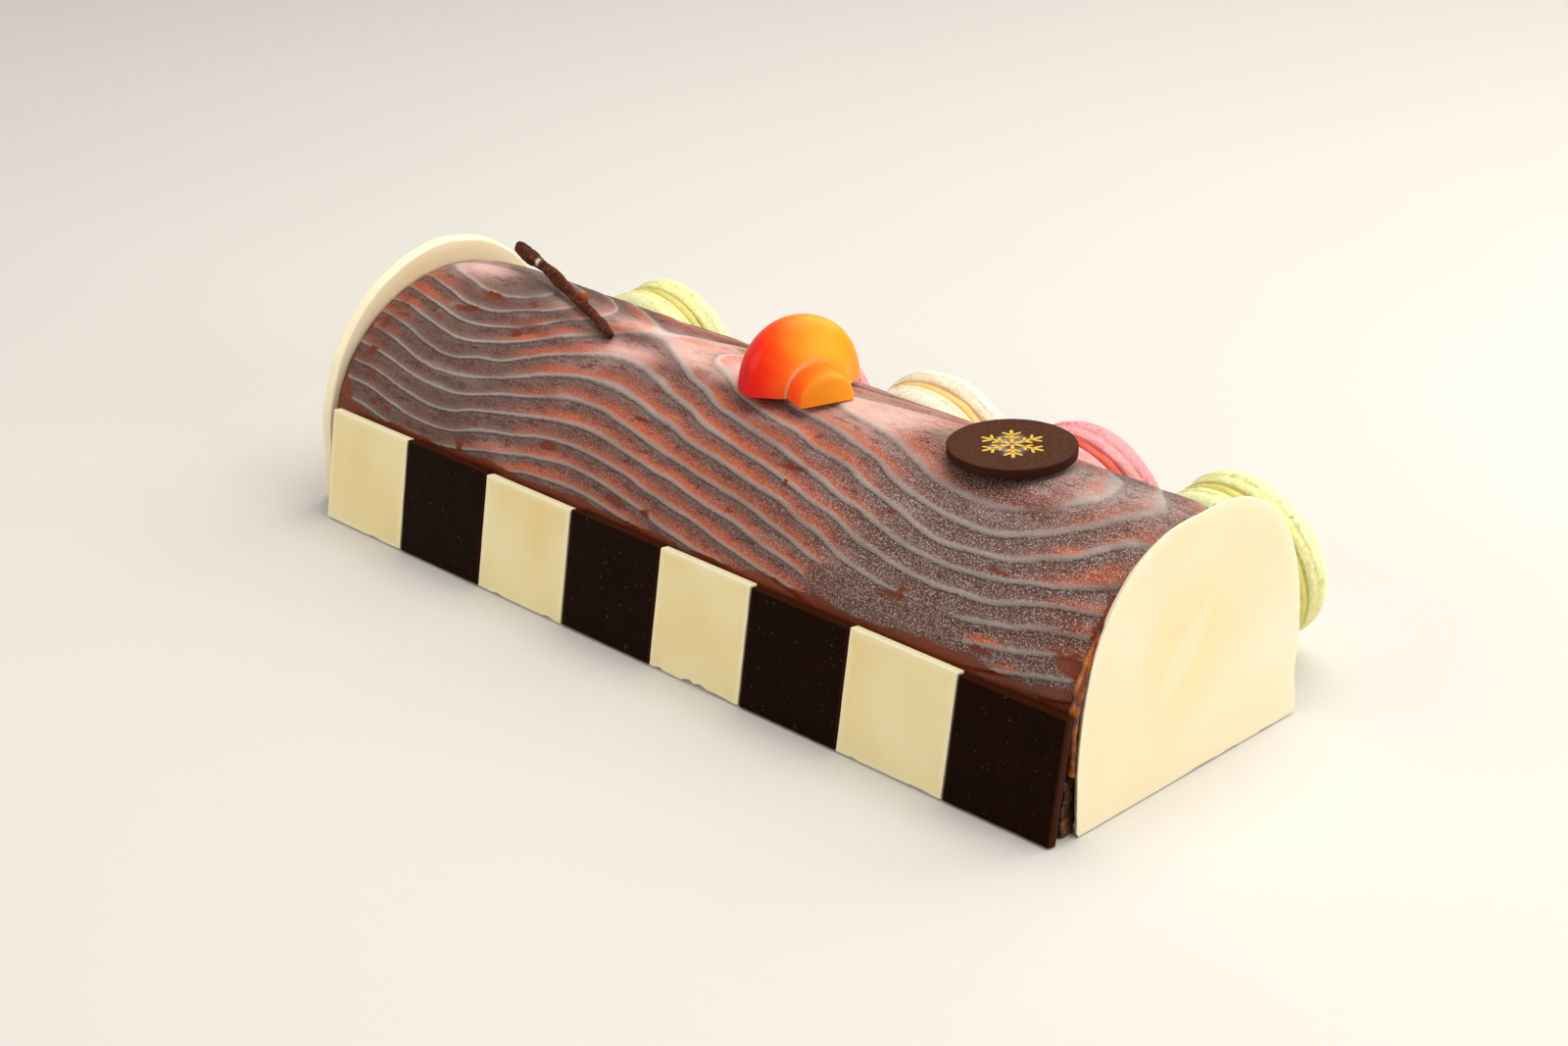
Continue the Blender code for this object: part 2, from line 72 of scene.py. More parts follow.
# moulded grain
GRAIN_PITCH, GRAIN_START, GRAIN_SLOPE, CREST_SOFTNESS = 5.81, 0.149, 0.00218, 6.0
GRAIN_ORIGIN = 36.0
# where the lines swell: lines gained, centre along and round, half length, half height
SWELLS = (
    (-3.23, -43.6, 105.4, 41.2, 30.5),
    (2.50, 90.9, 63.7, 49.3, 76.4),
    (1.33, -101.4, 80.5, 27.9, 29.3),
    (-1.73, -34.8, 8.4, 33.0, 54.9),
    (0.46, -96.8, 41.6, 20.6, 27.5),
    (-2.51, 121.6, 98.0, 63.8, 12.4),
    (-2.17, 123.5, 82.2, 50.0, 12.8),
    (1.96, 108.1, 83.7, 35.0, 14.4),
)
GRAIN_DEPTH = 0.55                   # ridge to groove
RIDGE_STEP = 0.88                    # share of a line's pitch taken by the slope above it

# squares along the front
SQUARE_JOINTS = (-134.4, -99.8, -65.1, -29.6, 5.7, 39.8, 74.5, 110.6, 144.8)
SQUARE_TURNS = (0.0, 0.15, -0.2, 0.1, -0.1, 0.2, -0.15, 0.35)
SQUARE_FRONT, SQUARE_HEIGHT, SQUARE_THICK, SQUARE_LEAN = 53.6, 33.4, 2.8, 9.2

# macarons: centre, lean, turn, radius, flavour
MACARONS = (
    ("macaron_1", (-107.6, 60.1, 25.2), 4.5, -0.8, 24.6, "green"),
    ("macaron_2", (-47.5, 60.5, 25.3), 8.0, 2.0, 24.6, "pink"),
    ("macaron_3", (5.8, 60.9, 25.3), 8.0, -4.7, 24.6, "cream"),
    ("macaron_4", (60.2, 61.1, 25.4), 12.6, 1.3, 24.6, "pink"),
    ("macaron_5", (112.7, 61.5, 25.9), 12.3, 5.0, 24.6, "green"),
)
SHELL_SEGMENTS, FILLING_SEGMENTS = 150, 120

# mushroom, disc and twig
CAP_RADIUS, CAP_TALL, CAP_DEPTH = 17.5, 1.10, 15.5
CAP_CENTRE, CAP_TURN = (12.6, -1.2, 68.2), -19.6
STEM_RADIUS, STEM_START, STEM_FACE = 8.3, 8.0, 15.9
SPRAY_WAY = (0.71, 0.70)             # level direction from the red side to the amber one
DISC_RADIUS, DISC_THICK, DISC_CENTRE = 16.8, 2.5, (84.4, 1.3, 69.65)
TWIG_FOOT, TWIG_MID, TWIG_HEAD = (-52.3, -11.6, 67.9), (-85.0, 2.0, 70.1), (-118.0, 12.2, 72.3)

BEAD_SIDES = 14
LAMP_COLOUR = "#fffaf2"


# noise and shapes

def lattice(ix, iy, iz, seed):
    """A fixed random number from 0 to 1 for each cell corner."""
    h = (ix * 374761393 + iy * 668265263 + iz * 1440662683 + seed * 1274126177) & 0xFFFFFFFF
    h = ((h ^ (h >> 13)) * 1274126177) & 0xFFFFFFFF
    return ((h ^ (h >> 16)) & 0xFFFFFF) / 0xFFFFFF


def soft_noise(points, size, seed):
    """Smooth noise from -1 to 1 with lumps of the given size."""
    cell = np.asarray(points, float) / size
    base = np.floor(cell)
    f = cell - base
    f = f * f * (3 - 2 * f)
    base = base.astype(np.int64)
    total = np.zeros(len(cell))
    for dx in (0, 1):
        for dy in (0, 1):
            for dz in (0, 1):
                weight = (np.where(dx, f[:, 0], 1 - f[:, 0])
                          * np.where(dy, f[:, 1], 1 - f[:, 1])
                          * np.where(dz, f[:, 2], 1 - f[:, 2]))
                total += weight * lattice(base[:, 0] + dx, base[:, 1] + dy, base[:, 2] + dz, seed)
    return 2 * total - 1


def ramp(value, low, high):
    """0 below low, 1 above high, smooth between."""
    t = np.clip((value - low) / (high - low), 0.0, 1.0)
    return t * t * (3 - 2 * t)


def smooth_path(points, per_span):
    """A smooth path through the points, with so many steps in each span."""
    p = np.asarray(points, float)
    ext = np.vstack([2 * p[0] - p[1], p, 2 * p[-1] - p[-2]])
    out = []
    for i in range(len(p) - 1):
        a, b, c, d = ext[i:i + 4]
        for t in np.arange(per_span) / per_span:
            out.append(0.5 * (2 * b + (c - a) * t + (2 * a - 5 * b + 4 * c - d) * t * t
                              + (3 * b - a - 3 * c + d) * t ** 3))
    out.append(p[-1])
    return np.array(out)


def quads(rows, cols, around=False):
    """Faces of a grid of points stored row by row; around joins the last column to the first."""
    r, c = np.meshgrid(np.arange(rows - 1), np.arange(cols if around else cols - 1), indexing="ij")
    r, c = r.ravel(), c.ravel()
    n = (c + 1) % cols
    return np.stack([r * cols + c, r * cols + n, (r + 1) * cols + n, (r + 1) * cols + c], 1)


def piece(name, points, faces, finish, node=None, marks=None, flat=False):
    """Make a mesh from points in millimetres, let it ride and give it its finish."""
    mesh = bpy.data.meshes.new(name)
    mesh.from_pydata((np.asarray(points) * MM).tolist(), [], [list(map(int, f)) for f in faces])
    mesh.validate()
    for label, values in (marks or {}).items():
        layer = mesh.attributes.new(label, "FLOAT", "POINT")
        layer.data.foreach_set("value", np.asarray(values, np.float32))
    if not flat:
        mesh.shade_smooth()
    mesh.materials.append(finish)
    mesh.update()
    obj = bpy.data.objects.new(name, mesh)
    bpy.context.scene.collection.objects.link(obj)
    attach(obj, "root")
    if node:
        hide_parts(node)
    return obj


def moved(points, matrix):
    """Points carried by a 4x4 matrix."""
    m = np.array(matrix)
    return points @ m[:3, :3].T + m[:3, 3]


def tablet(outline, thick, edge, slant=0.0, steps=9):
    """A sheet cut along an outline, with soft edges.  The face is at +thick/2 and
    the back, which slant cuts smaller, at -thick/2.  Gives points, faces and how
    near each point is to the rim."""
    outline = np.asarray(outline, float)
    count = len(outline)
    middle = outline.mean(0)
    along = np.roll(outline, -2, 0) - np.roll(outline, 2, 0)
    inward = np.stack([-along[:, 1], along[:, 0]], 1)
    inward /= np.linalg.norm(inward, axis=1, keepdims=True)
    inward *= np.sign(((middle - outline) * inward).sum(1).mean())
    scales = np.linspace(0, 1, steps + 1)[1:] ** 0.8
    rings = [(s, edge, thick / 2, s) for s in scales]
    for a in np.radians((22, 45, 68, 90)):
        rings.append((1.0, edge * (1 - math.sin(a)), thick / 2 - edge * (1 - math.cos(a)), 1.0))
    for a in np.radians((0, 22, 45, 68, 90)):
        rings.append((1.0, edge * (1 - math.cos(a)), -thick / 2 + edge * (1 - math.sin(a)), 1.0))
    rings += [(s, edge, -thick / 2, s) for s in scales[-2::-1]]
    pts, near = [], []
    for s, inset, height, rim in rings:
        cut = inset + slant * (0.5 - height / thick)
        ring = middle + (outline + inward * cut - middle) * s
        pts.append(np.column_stack([ring, np.full(count, height)]))
        near.append(np.full(count, rim))
    faces = quads(len(rings), count, around=True).tolist()
    top, low = len(rings) * count, len(rings) * count + 1
    pts.append(np.array([[*middle, thick / 2], [*middle, -thick / 2]]))
    near.append(np.zeros(2))
    last = (len(rings) - 1) * count
    for i in range(count):
        j = (i + 1) % count
        faces.append([top, j, i])
        faces.append([low, last + i, last + j])
    return np.vstack(pts), faces, np.concatenate(near)


# colours and nodes

def linear(colour):
    """The linear value of an sRGB hex colour."""
    parts = [int(colour[i:i + 2], 16) / 255 for i in (1, 3, 5)]
    return (*[c / 12.92 if c <= 0.04045 else ((c + 0.055) / 1.055) ** 2.4 for c in parts], 1.0)


def per_mm(size):
    """Texture scale whose cells are so many millimetres across."""
    return 1000.0 / size


def add(tree, kind, values=None, links=None, stops=None, **options):
    """Add a node, with its options, socket values, colour stops and links."""
    node = tree.nodes.new("ShaderNode" + kind)
    for key, value in options.items():
        setattr(node, key, value)
    for key, value in (values or {}).items():
        node.inputs[key].default_value = linear(value) if isinstance(value, str) else value
    if stops:
        elements = node.color_ramp.elements
        while len(elements) < len(stops):
            elements.new(0.5)
        for element, (place, colour) in zip(elements, stops):
            element.position = place
            element.color = linear(colour) if isinstance(colour, str) else (colour,) * 3 + (1.0,)
    for key, socket in (links or {}).items():
        tree.links.new(socket, node.inputs[key])
    return node


def new_finish(name, roughness, ior, **sockets):
    """A finish with its shader; gives the finish, its nodes, the shader and a place socket."""
    finish = bpy.data.materials.new(name)
    finish.use_nodes = True
    tree = finish.node_tree
    shader = tree.nodes["Principled BSDF"]
    shader.inputs["Roughness"].default_value = roughness
    shader.inputs["IOR"].default_value = ior
    for key, value in sockets.items():
        shader.inputs[key.replace("_", " ")].default_value = value
    place = add(tree, "TexCoord").outputs["Object"]
    return finish, tree, shader, place


def sprayed_glaze():
    """Frozen mousse glazed brown, then sprayed: grey cocoa butter catches on each ridge,
    rust shows in the hollow above it and mauve below the next one, with frost over all
    and dark bare glaze where the spray missed.  A darker band just under each ridge is
    painted shade, where the step faces down."""
    finish, tree, shader, place = new_finish("sprayed_glaze", 0.6, 1.45, Specular_IOR_Level=0.3)
    marks = {name: add(tree, "Attribute", attribute_name=name).outputs["Fac"] for name in
             ("grain_line", "warmth", "broad", "velvet", "bare", "ember", "smoke", "thin", "frost",
              "icy")}
    # the spray's edge wanders by a few tenths of a millimetre
    ragged = add(tree, "TexNoise", {"Scale": per_mm(1.3), "Detail": 4.0, "Roughness": 0.65},
                 {"Vector": place}).outputs["Fac"]
    wander = add(tree, "MapRange", {"From Min": 0.25, "From Max": 0.75,
                                    "To Min": -0.035, "To Max": 0.035}, {"Value": ragged})
    line = add(tree, "Math", None, {0: marks["grain_line"], 1: wander.outputs["Result"]},
               operation="ADD")
    phase = add(tree, "Math", None, {0: line.outputs[0]}, operation="FRACT").outputs[0]
    # in the grey, rust and blush ramps, the darker stop just under the next ridge, at 0.88 to 0.89, is
    # painted shade where the step faces down
    grey = add(tree, "ValToRGB", None, {"Fac": phase}, stops=[
        (0.0, "#a59a96"), (0.05, "#958682"), (0.13, "#755d56"), (0.35, "#684c45"), (0.60, "#64463f"),
        (0.80, "#685049"), (0.89, "#54403b"), (0.93, "#685651"), (0.97, "#998c88"), (1.0, "#a59a96")])
    rust = add(tree, "ValToRGB", None, {"Fac": phase}, stops=[
        (0.0, "#a8968f"), (0.07, "#a67e70"), (0.14, "#b06045"), (0.25, "#ac5638"), (0.40, "#954d37"),
        (0.55, "#7f463a"), (0.68, "#765048"), (0.80, "#725b54"), (0.88, "#5d4740"), (0.92, "#6b5750"),
        (0.96, "#94827b"), (1.0, "#a8968f")])
    blush = add(tree, "ValToRGB", None, {"Fac": phase}, stops=[
        (0.0, "#dfcac2"), (0.10, "#ebbcb0"), (0.30, "#f1c5ba"), (0.52, "#e9b9ac"), (0.74, "#d8aa9e"),
        (0.88, "#c4a096"), (0.95, "#d4bab1"), (1.0, "#dfcac2")])
    coat = add(tree, "MixRGB", None, {"Fac": marks["warmth"], "Color1": grey.outputs["Color"],
                                      "Color2": rust.outputs["Color"]})
    # the grey lines are broader to the right
    line_mask = add(tree, "ValToRGB", None, {"Fac": phase}, stops=[
        (0.0, 0.85), (0.11, 0.8), (0.21, 0.0), (0.90, 0.0), (0.95, 0.8), (1.0, 0.85)])
    broad = add(tree, "Math", None, {0: line_mask.outputs["Color"], 1: marks["broad"]},
                operation="MULTIPLY")
    coat = add(tree, "MixRGB", {"Color2": "#9b8d87"}, {"Fac": broad.outputs[0],
                                                       "Color1": coat.outputs["Color"]})
    coat = add(tree, "MixRGB", None, {"Fac": marks["velvet"], "Color1": coat.outputs["Color"],
                                      "Color2": blush.outputs["Color"]})
    # orange glaze glows through the hollow just above a ridge
    hollow = add(tree, "ValToRGB", None, {"Fac": phase}, stops=[
        (0.03, 0.0), (0.10, 1.0), (0.34, 0.9), (0.60, 0.0)])
    glow = add(tree, "Math", None, {0: hollow.outputs["Color"], 1: marks["ember"]},
               operation="MULTIPLY")
    coat = add(tree, "MixRGB", {"Color2": "#cb5e2e"}, {"Fac": glow.outputs[0],
                                                       "Color1": coat.outputs["Color"]})
    # cloudy tone, 7 mm across and 20 mm along the grain
    along = add(tree, "Mapping", {"Scale": (0.35, 1.0, 1.0)}, {"Vector": place}).outputs["Vector"]
    cloud = add(tree, "TexNoise", {"Scale": per_mm(7), "Detail": 3.0}, {"Vector": along})
    tone = add(tree, "MapRange", {"From Min": 0.3, "From Max": 0.7, "To Min": 0.84, "To Max": 1.16},
               {"Value": cloud.outputs["Fac"]})
    coat = add(tree, "VectorMath", None, {0: coat.outputs["Color"], 1: tone.outputs["Result"]},
               operation="MULTIPLY")
    coat = add(tree, "MixRGB", {"Color2": "#4c403d"}, {"Fac": marks["smoke"],
                                                       "Color1": coat.outputs[0]})
    # thin spray lets the dark glaze through, in streaks along the grain
    streak = add(tree, "TexNoise", {"Scale": per_mm(3.2), "Detail": 5.0, "Roughness": 0.7},
                 {"Vector": along}).outputs["Fac"]
    streaky = add(tree, "MapRange", {"From Min": 0.30, "From Max": 0.58, "To Min": 0.5, "To Max": 1.0},
                  {"Value": streak})
    thin = add(tree, "Math", None, {0: marks["thin"], 1: streaky.outputs["Result"]},
               operation="MULTIPLY")
    coat = add(tree, "MixRGB", {"Color2": "#662a1e"}, {"Fac": thin.outputs[0],
                                                       "Color1": coat.outputs["Color"]})
    snow = add(tree, "MapRange", {"From Min": 0.62, "From Max": 0.36, "To Min": 0.35, "To Max": 0.9},
               {"Value": streak})
    snow = add(tree, "Math", None, {0: marks["frost"], 1: snow.outputs["Result"]}, operation="MULTIPLY")
    coat = add(tree, "MixRGB", {"Color2": "#b6aaa6"}, {"Fac": snow.outputs[0],
                                                       "Color1": coat.outputs["Color"]})
    # short dark scars in the middle of each hollow, 1 to 3 mm long
    scars = add(tree, "TexNoise", {"Scale": per_mm(1.9), "Detail": 6.0, "Roughness": 0.72},
                {"Vector": along})
    scars = add(tree, "MapRange", {"From Min": 0.52, "From Max": 0.60}, {"Value": scars.outputs["Fac"]})
    middle = add(tree, "ValToRGB", None, {"Fac": phase}, stops=[
        (0.16, 0.0), (0.34, 0.55), (0.50, 0.85), (0.76, 0.85), (0.90, 0.45), (0.95, 0.0)])
    scar = add(tree, "Math", None, {0: scars.outputs["Result"], 1: middle.outputs["Color"]},
               operation="MULTIPLY")
    calm = add(tree, "MapRange", {"To Min": 1.0, "To Max": 0.3}, {"Value": marks["velvet"]})
    scar = add(tree, "Math", None, {0: scar.outputs[0], 1: calm.outputs["Result"]},
               operation="MULTIPLY")
    coat = add(tree, "MixRGB", {"Color2": "#52291f"}, {"Fac": scar.outputs[0],
                                                       "Color1": coat.outputs["Color"]})
    # ice grains, really 0.1 to 0.2 mm, drawn at about 0.5 mm so that they show
    speck = add(tree, "TexNoise", {"Scale": per_mm(0.46), "Detail": 2.0, "Roughness": 0.65},
                {"Vector": place})
    grains = add(tree, "MapRange", {"From Min": 0.52, "From Max": 0.66},
                 {"Value": speck.outputs["Fac"]})
    pits = add(tree, "MapRange", {"From Min": 0.48, "From Max": 0.34}, {"Value": speck.outputs["Fac"]})
    ridge_top = add(tree, "ValToRGB", None, {"Fac": phase}, stops=[
        (0.0, 0.25), (0.06, 0.3), (0.16, 0.8), (0.5, 1.0), (0.88, 1.0), (0.94, 0.4), (1.0, 0.25)])
    icy = add(tree, "Math", None, {0: marks["icy"], 1: ridge_top.outputs["Color"]},
              operation="MULTIPLY").outputs[0]
    light = add(tree, "Math", None, {0: grains.outputs["Result"], 1: icy}, operation="MULTIPLY")
    dark = add(tree, "Math", None, {0: pits.outputs["Result"], 1: icy}, operation="MULTIPLY")
    coat = add(tree, "MixRGB", {"Color2": "#cbbbb5"}, {"Fac": light.outputs[0],
                                                       "Color1": coat.outputs["Color"]})
    coat = add(tree, "MixRGB", {"Color2": "#4d2a22"}, {"Fac": dark.outputs[0],
                                                       "Color1": coat.outputs["Color"]})
    # bare glaze, with a frayed edge drawn out along the grain
    fray = add(tree, "MapRange", {"From Min": 0.25, "From Max": 0.75, "To Min": -0.6, "To Max": 0.6},
               {"Value": streak})
    missed = add(tree, "Math", None, {0: marks["bare"], 1: fray.outputs["Result"]}, operation="ADD")
    missed = add(tree, "MapRange", {"From Min": 0.42, "From Max": 0.60}, {"Value": missed.outputs[0]})
    glaze = add(tree, "MixRGB", {"Color1": "#42150a", "Color2": "#8c3c16"},
                {"Fac": cloud.outputs["Fac"]})
    dots = add(tree, "MapRange", {"From Min": 0.68, "From Max": 0.76, "To Max": 0.5},
               {"Value": speck.outputs["Fac"]})
    glaze = add(tree, "MixRGB", {"Color2": "#b08a76"}, {"Fac": dots.outputs["Result"],
                                                       "Color1": glaze.outputs["Color"]})
    coat = add(tree, "MixRGB", None, {"Fac": missed.outputs["Result"], "Color1": coat.outputs["Color"],
                                      "Color2": glaze.outputs["Color"]})
    tree.links.new(coat.outputs["Color"], shader.inputs["Base Color"])
    wet = add(tree, "MapRange", {"To Min": 0.72, "To Max": 0.30}, {"Value": missed.outputs["Result"]})
    tree.links.new(wet.outputs["Result"], shader.inputs["Roughness"])
    # the frost stands about 0.15 mm proud
    raised = add(tree, "Math", None, {0: speck.outputs["Fac"], 1: ragged}, operation="ADD")
    bump = add(tree, "Bump", {"Strength": 0.6, "Distance": 0.00022}, {"Height": raised.outputs[0]})
    tree.links.new(bump.outputs["Normal"], shader.inputs["Normal"])
    return finish


def run_glaze():
    """Cocoa glaze that set as a thin clear run: caramel orange, wet shine."""
    finish, tree, shader, place = new_finish("run_glaze", 0.25, 1.47)
    depth = add(tree, "TexNoise", {"Scale": per_mm(3.0), "Detail": 3.0}, {"Vector": place})
    body = add(tree, "ValToRGB", None, {"Fac": depth.outputs["Fac"]}, stops=[
        (0.34, "#4c1c0a"), (0.50, "#8e4413"), (0.66, "#b5661e")])
    tree.links.new(body.outputs["Color"], shader.inputs["Base Color"])
    bump = add(tree, "Bump", {"Strength": 0.4, "Distance": 0.0004}, {"Height": depth.outputs["Fac"]})
    tree.links.new(bump.outputs["Normal"], shader.inputs["Normal"])
    return finish


def white_chocolate(name, streak, pale, deep, rim, tints_and_highlights=()):
    """Tempered white chocolate set on a smooth sheet: ivory, satin, faintly see-through,
    with cloudy streaks where it was spread and a paler colour along its cut edge,
    which is a painted highlight.
    A tint or a painted highlight, given by its centre, tilt, half sizes, colour and strength, is a soft
    oval."""
    finish, tree, shader, place = new_finish(name, 0.36, 1.46, Subsurface_Weight=0.12,
                                             Subsurface_Radius=(1.0, 0.75, 0.4), Subsurface_Scale=0.002)
    near = add(tree, "Attribute", attribute_name="rim").outputs["Fac"]
    cloud = add(tree, "TexNoise", {"Scale": per_mm(streak), "Detail": 1.5, "Distortion": 0.4},
                {"Vector": place})
    spread = add(tree, "MapRange", {"From Min": 0.24, "From Max": 0.80},
                 {"Value": cloud.outputs["Fac"]})
    body = add(tree, "MixRGB", {"Color1": pale, "Color2": deep}, {"Fac": spread.outputs["Result"]})
    for centre, tilt, size, colour, strength in tints_and_highlights:
        oval = add(tree, "Mapping", {"Location": centre, "Rotation": (tilt, 0.0, 0.0), "Scale": size},
                   {"Vector": place}, vector_type="TEXTURE")
        oval = add(tree, "TexGradient", None, {"Vector": oval.outputs["Vector"]},
                   gradient_type="SPHERICAL")
        oval = add(tree, "MapRange", {"From Max": 0.45, "To Max": strength},
                   {"Value": oval.outputs["Fac"]})
        body = add(tree, "MixRGB", {"Color2": colour}, {"Fac": oval.outputs["Result"],
                                                        "Color1": body.outputs["Color"]})
    # painted highlight: the face turns to the paler rim colour towards its cut edge
    at_rim = add(tree, "MapRange", {"From Min": 0.90, "From Max": 1.0, "To Max": 0.7}, {"Value": near})
    body = add(tree, "MixRGB", {"Color2": rim}, {"Fac": at_rim.outputs["Result"],
                                               "Color1": body.outputs["Color"]})
    tree.links.new(body.outputs["Color"], shader.inputs["Base Color"])
    sheen = add(tree, "MapRange", {"To Min": 0.30, "To Max": 0.46}, {"Value": cloud.outputs["Fac"]})
    tree.links.new(sheen.outputs["Result"], shader.inputs["Roughness"])
    fine = add(tree, "TexNoise", {"Scale": per_mm(1.6), "Detail": 4.0}, {"Vector": place})
    bump = add(tree, "Bump", {"Strength": 0.18, "Distance": 0.0002}, {"Height": fine.outputs["Fac"]})
    tree.links.new(bump.outputs["Normal"], shader.inputs["Normal"])
    return finish


def dark_chocolate():
    """Tempered dark chocolate set on a glossy sheet: almost black, smooth shine, a few
    dust specks and redder brown where the edge thins.  The shine is weak and warm so
    that pale surroundings don't grey it."""
    finish, tree, shader, place = new_finish("dark_chocolate", 0.26, 1.45, Specular_IOR_Level=0.05,
                                             Specular_Tint=linear("#f0b88a"))
    near = add(tree, "Attribute", attribute_name="rim").outputs["Fac"]
    cloud = add(tree, "TexNoise", {"Scale": per_mm(9), "Detail": 4.0}, {"Vector": place})
    body = add(tree, "MixRGB", {"Color1": "#0e0401", "Color2": "#1b0903"},
               {"Fac": cloud.outputs["Fac"]})
    # dust, really about 0.1 mm, drawn at 0.8 mm so that it shows
    dust = add(tree, "TexNoise", {"Scale": per_mm(0.8), "Detail": 1.0}, {"Vector": place})
    dust = add(tree, "MapRange", {"From Min": 0.72, "From Max": 0.80, "To Max": 0.5},
               {"Value": dust.outputs["Fac"]})
    body = add(tree, "MixRGB", {"Color2": "#8a6a58"}, {"Fac": dust.outputs["Result"],
                                                       "Color1": body.outputs["Color"]})
    at_rim = add(tree, "MapRange", {"From Min": 0.985, "From Max": 1.0}, {"Value": near})
    body = add(tree, "MixRGB", {"Color2": "#341509"}, {"Fac": at_rim.outputs["Result"],
                                                       "Color1": body.outputs["Color"]})
    tree.links.new(body.outputs["Color"], shader.inputs["Base Color"])
    sheen = add(tree, "MapRange", {"To Min": 0.18, "To Max": 0.40}, {"Value": cloud.outputs["Fac"]})
    tree.links.new(sheen.outputs["Result"], shader.inputs["Roughness"])
    bump = add(tree, "Bump", {"Strength": 0.12, "Distance": 0.0003}, {"Height": cloud.outputs["Fac"]})
    tree.links.new(bump.outputs["Normal"], shader.inputs["Normal"])
    return finish


def macaron_shell(name, crown, deep, foot, speck_colour):
    """Baked almond meringue: an eggshell-matt dome with ground almond specks and painted
    shade in a row of pits, over a frilled foot of tiny bubbles."""
    finish, tree, shader, place = new_finish(name, 0.62, 1.45, Subsurface_Weight=0.15,
                                             Subsurface_Radius=(1.0, 0.7, 0.4), Subsurface_Scale=0.002)
    height = add(tree, "Attribute", attribute_name="height").outputs["Fac"]
    cloud = add(tree, "TexNoise", {"Scale": per_mm(8), "Detail": 3.0}, {"Vector": place})
    body = add(tree, "MixRGB", {"Color1": crown, "Color2": deep}, {"Fac": cloud.outputs["Fac"]})
    # ground almond, 0.5 to 1.5 mm
    almond = add(tree, "TexVoronoi", {"Scale": per_mm(2.6), "Randomness": 1.0}, {"Vector": place})
    size = add(tree, "SeparateColor", None, {"Color": almond.outputs["Color"]})
    reach = add(tree, "Math", {1: 0.26}, {0: size.outputs["Red"]}, operation="MULTIPLY")
    inside = add(tree, "Math", None, {0: almond.outputs["Distance"], 1: reach.outputs[0]},
                 operation="LESS_THAN")
    chosen = add(tree, "Math", {1: 0.62}, {0: size.outputs["Green"]}, operation="GREATER_THAN")
    fleck = add(tree, "Math", None, {0: inside.outputs[0], 1: chosen.outputs[0]}, operation="MULTIPLY")
    fleck = add(tree, "Math", {1: 0.75}, {0: fleck.outputs[0]}, operation="MULTIPLY")
    body = add(tree, "MixRGB", {"Color2": speck_colour}, {"Fac": fleck.outputs[0],
                                                         "Color1": body.outputs["Color"]})
    frill = add(tree, "MapRange", {"From Min": 5.6, "From Max": 4.4}, {"Value": height})
    body = add(tree, "MixRGB", {"Color2": foot}, {"Fac": frill.outputs["Result"],
                                                  "Color1": body.outputs["Color"]})
    # painted shade: a broken row of darker dashes, the shade in pits where the dome lifted off its foot
    torn = add(tree, "TexNoise", {"Scale": per_mm(1.9), "Detail": 3.0}, {"Vector": place})
    torn = add(tree, "MapRange", {"From Min": 0.56, "From Max": 0.62}, {"Value": torn.outputs["Fac"]})
    band = add(tree, "MapRange", {"From Min": 4.4, "From Max": 8.4}, {"Value": height})
    band = add(tree, "ValToRGB", None, {"Fac": band.outputs["Result"]}, stops=[
        (0.0, 0.0), (0.25, 0.5), (0.45, 0.5), (0.9, 0.0)])
    pit_shade = add(tree, "Math", None, {0: torn.outputs["Result"], 1: band.outputs["Color"]},
              operation="MULTIPLY")
    body = add(tree, "MixRGB", {"Color2": speck_colour}, {"Fac": pit_shade.outputs[0],
                                                         "Color1": body.outputs["Color"]})
    bubbles = add(tree, "TexNoise", {"Scale": per_mm(1.1), "Detail": 3.0, "Roughness": 0.7},
                  {"Vector": place})
    crust = add(tree, "MapRange", {"From Min": 0.35, "From Max": 0.62, "To Min": 0.86, "To Max": 1.04},
                {"Value": bubbles.outputs["Fac"]})
    body = add(tree, "VectorMath", None, {0: body.outputs["Color"], 1: crust.outputs["Result"]},
               operation="MULTIPLY")
    tree.links.new(body.outputs[0], shader.inputs["Base Color"])
    strength = add(tree, "MapRange", {"To Min": 0.25, "To Max": 1.0},
                   {"Value": frill.outputs["Result"]})
    bump = add(tree, "Bump", {"Distance": 0.0005}, {"Height": bubbles.outputs["Fac"],
                                                    "Strength": strength.outputs["Result"]})
    tree.links.new(bump.outputs["Normal"], shader.inputs["Normal"])
    return finish


def macaron_filling(name, pale, deep):
    """Buttercream pressed between two shells: soft, satin and a little uneven."""
    finish, tree, shader, place = new_finish(name, 0.42, 1.46, Subsurface_Weight=0.2,
                                             Subsurface_Radius=(1.0, 0.6, 0.3), Subsurface_Scale=0.002)
    cloud = add(tree, "TexNoise", {"Scale": per_mm(3), "Detail": 3.0}, {"Vector": place})
    body = add(tree, "MixRGB", {"Color1": pale, "Color2": deep}, {"Fac": cloud.outputs["Fac"]})
    tree.links.new(body.outputs["Color"], shader.inputs["Base Color"])
    bump = add(tree, "Bump", {"Strength": 0.4, "Distance": 0.0004}, {"Height": cloud.outputs["Fac"]})
    tree.links.new(bump.outputs["Normal"], shader.inputs["Normal"])
    return finish


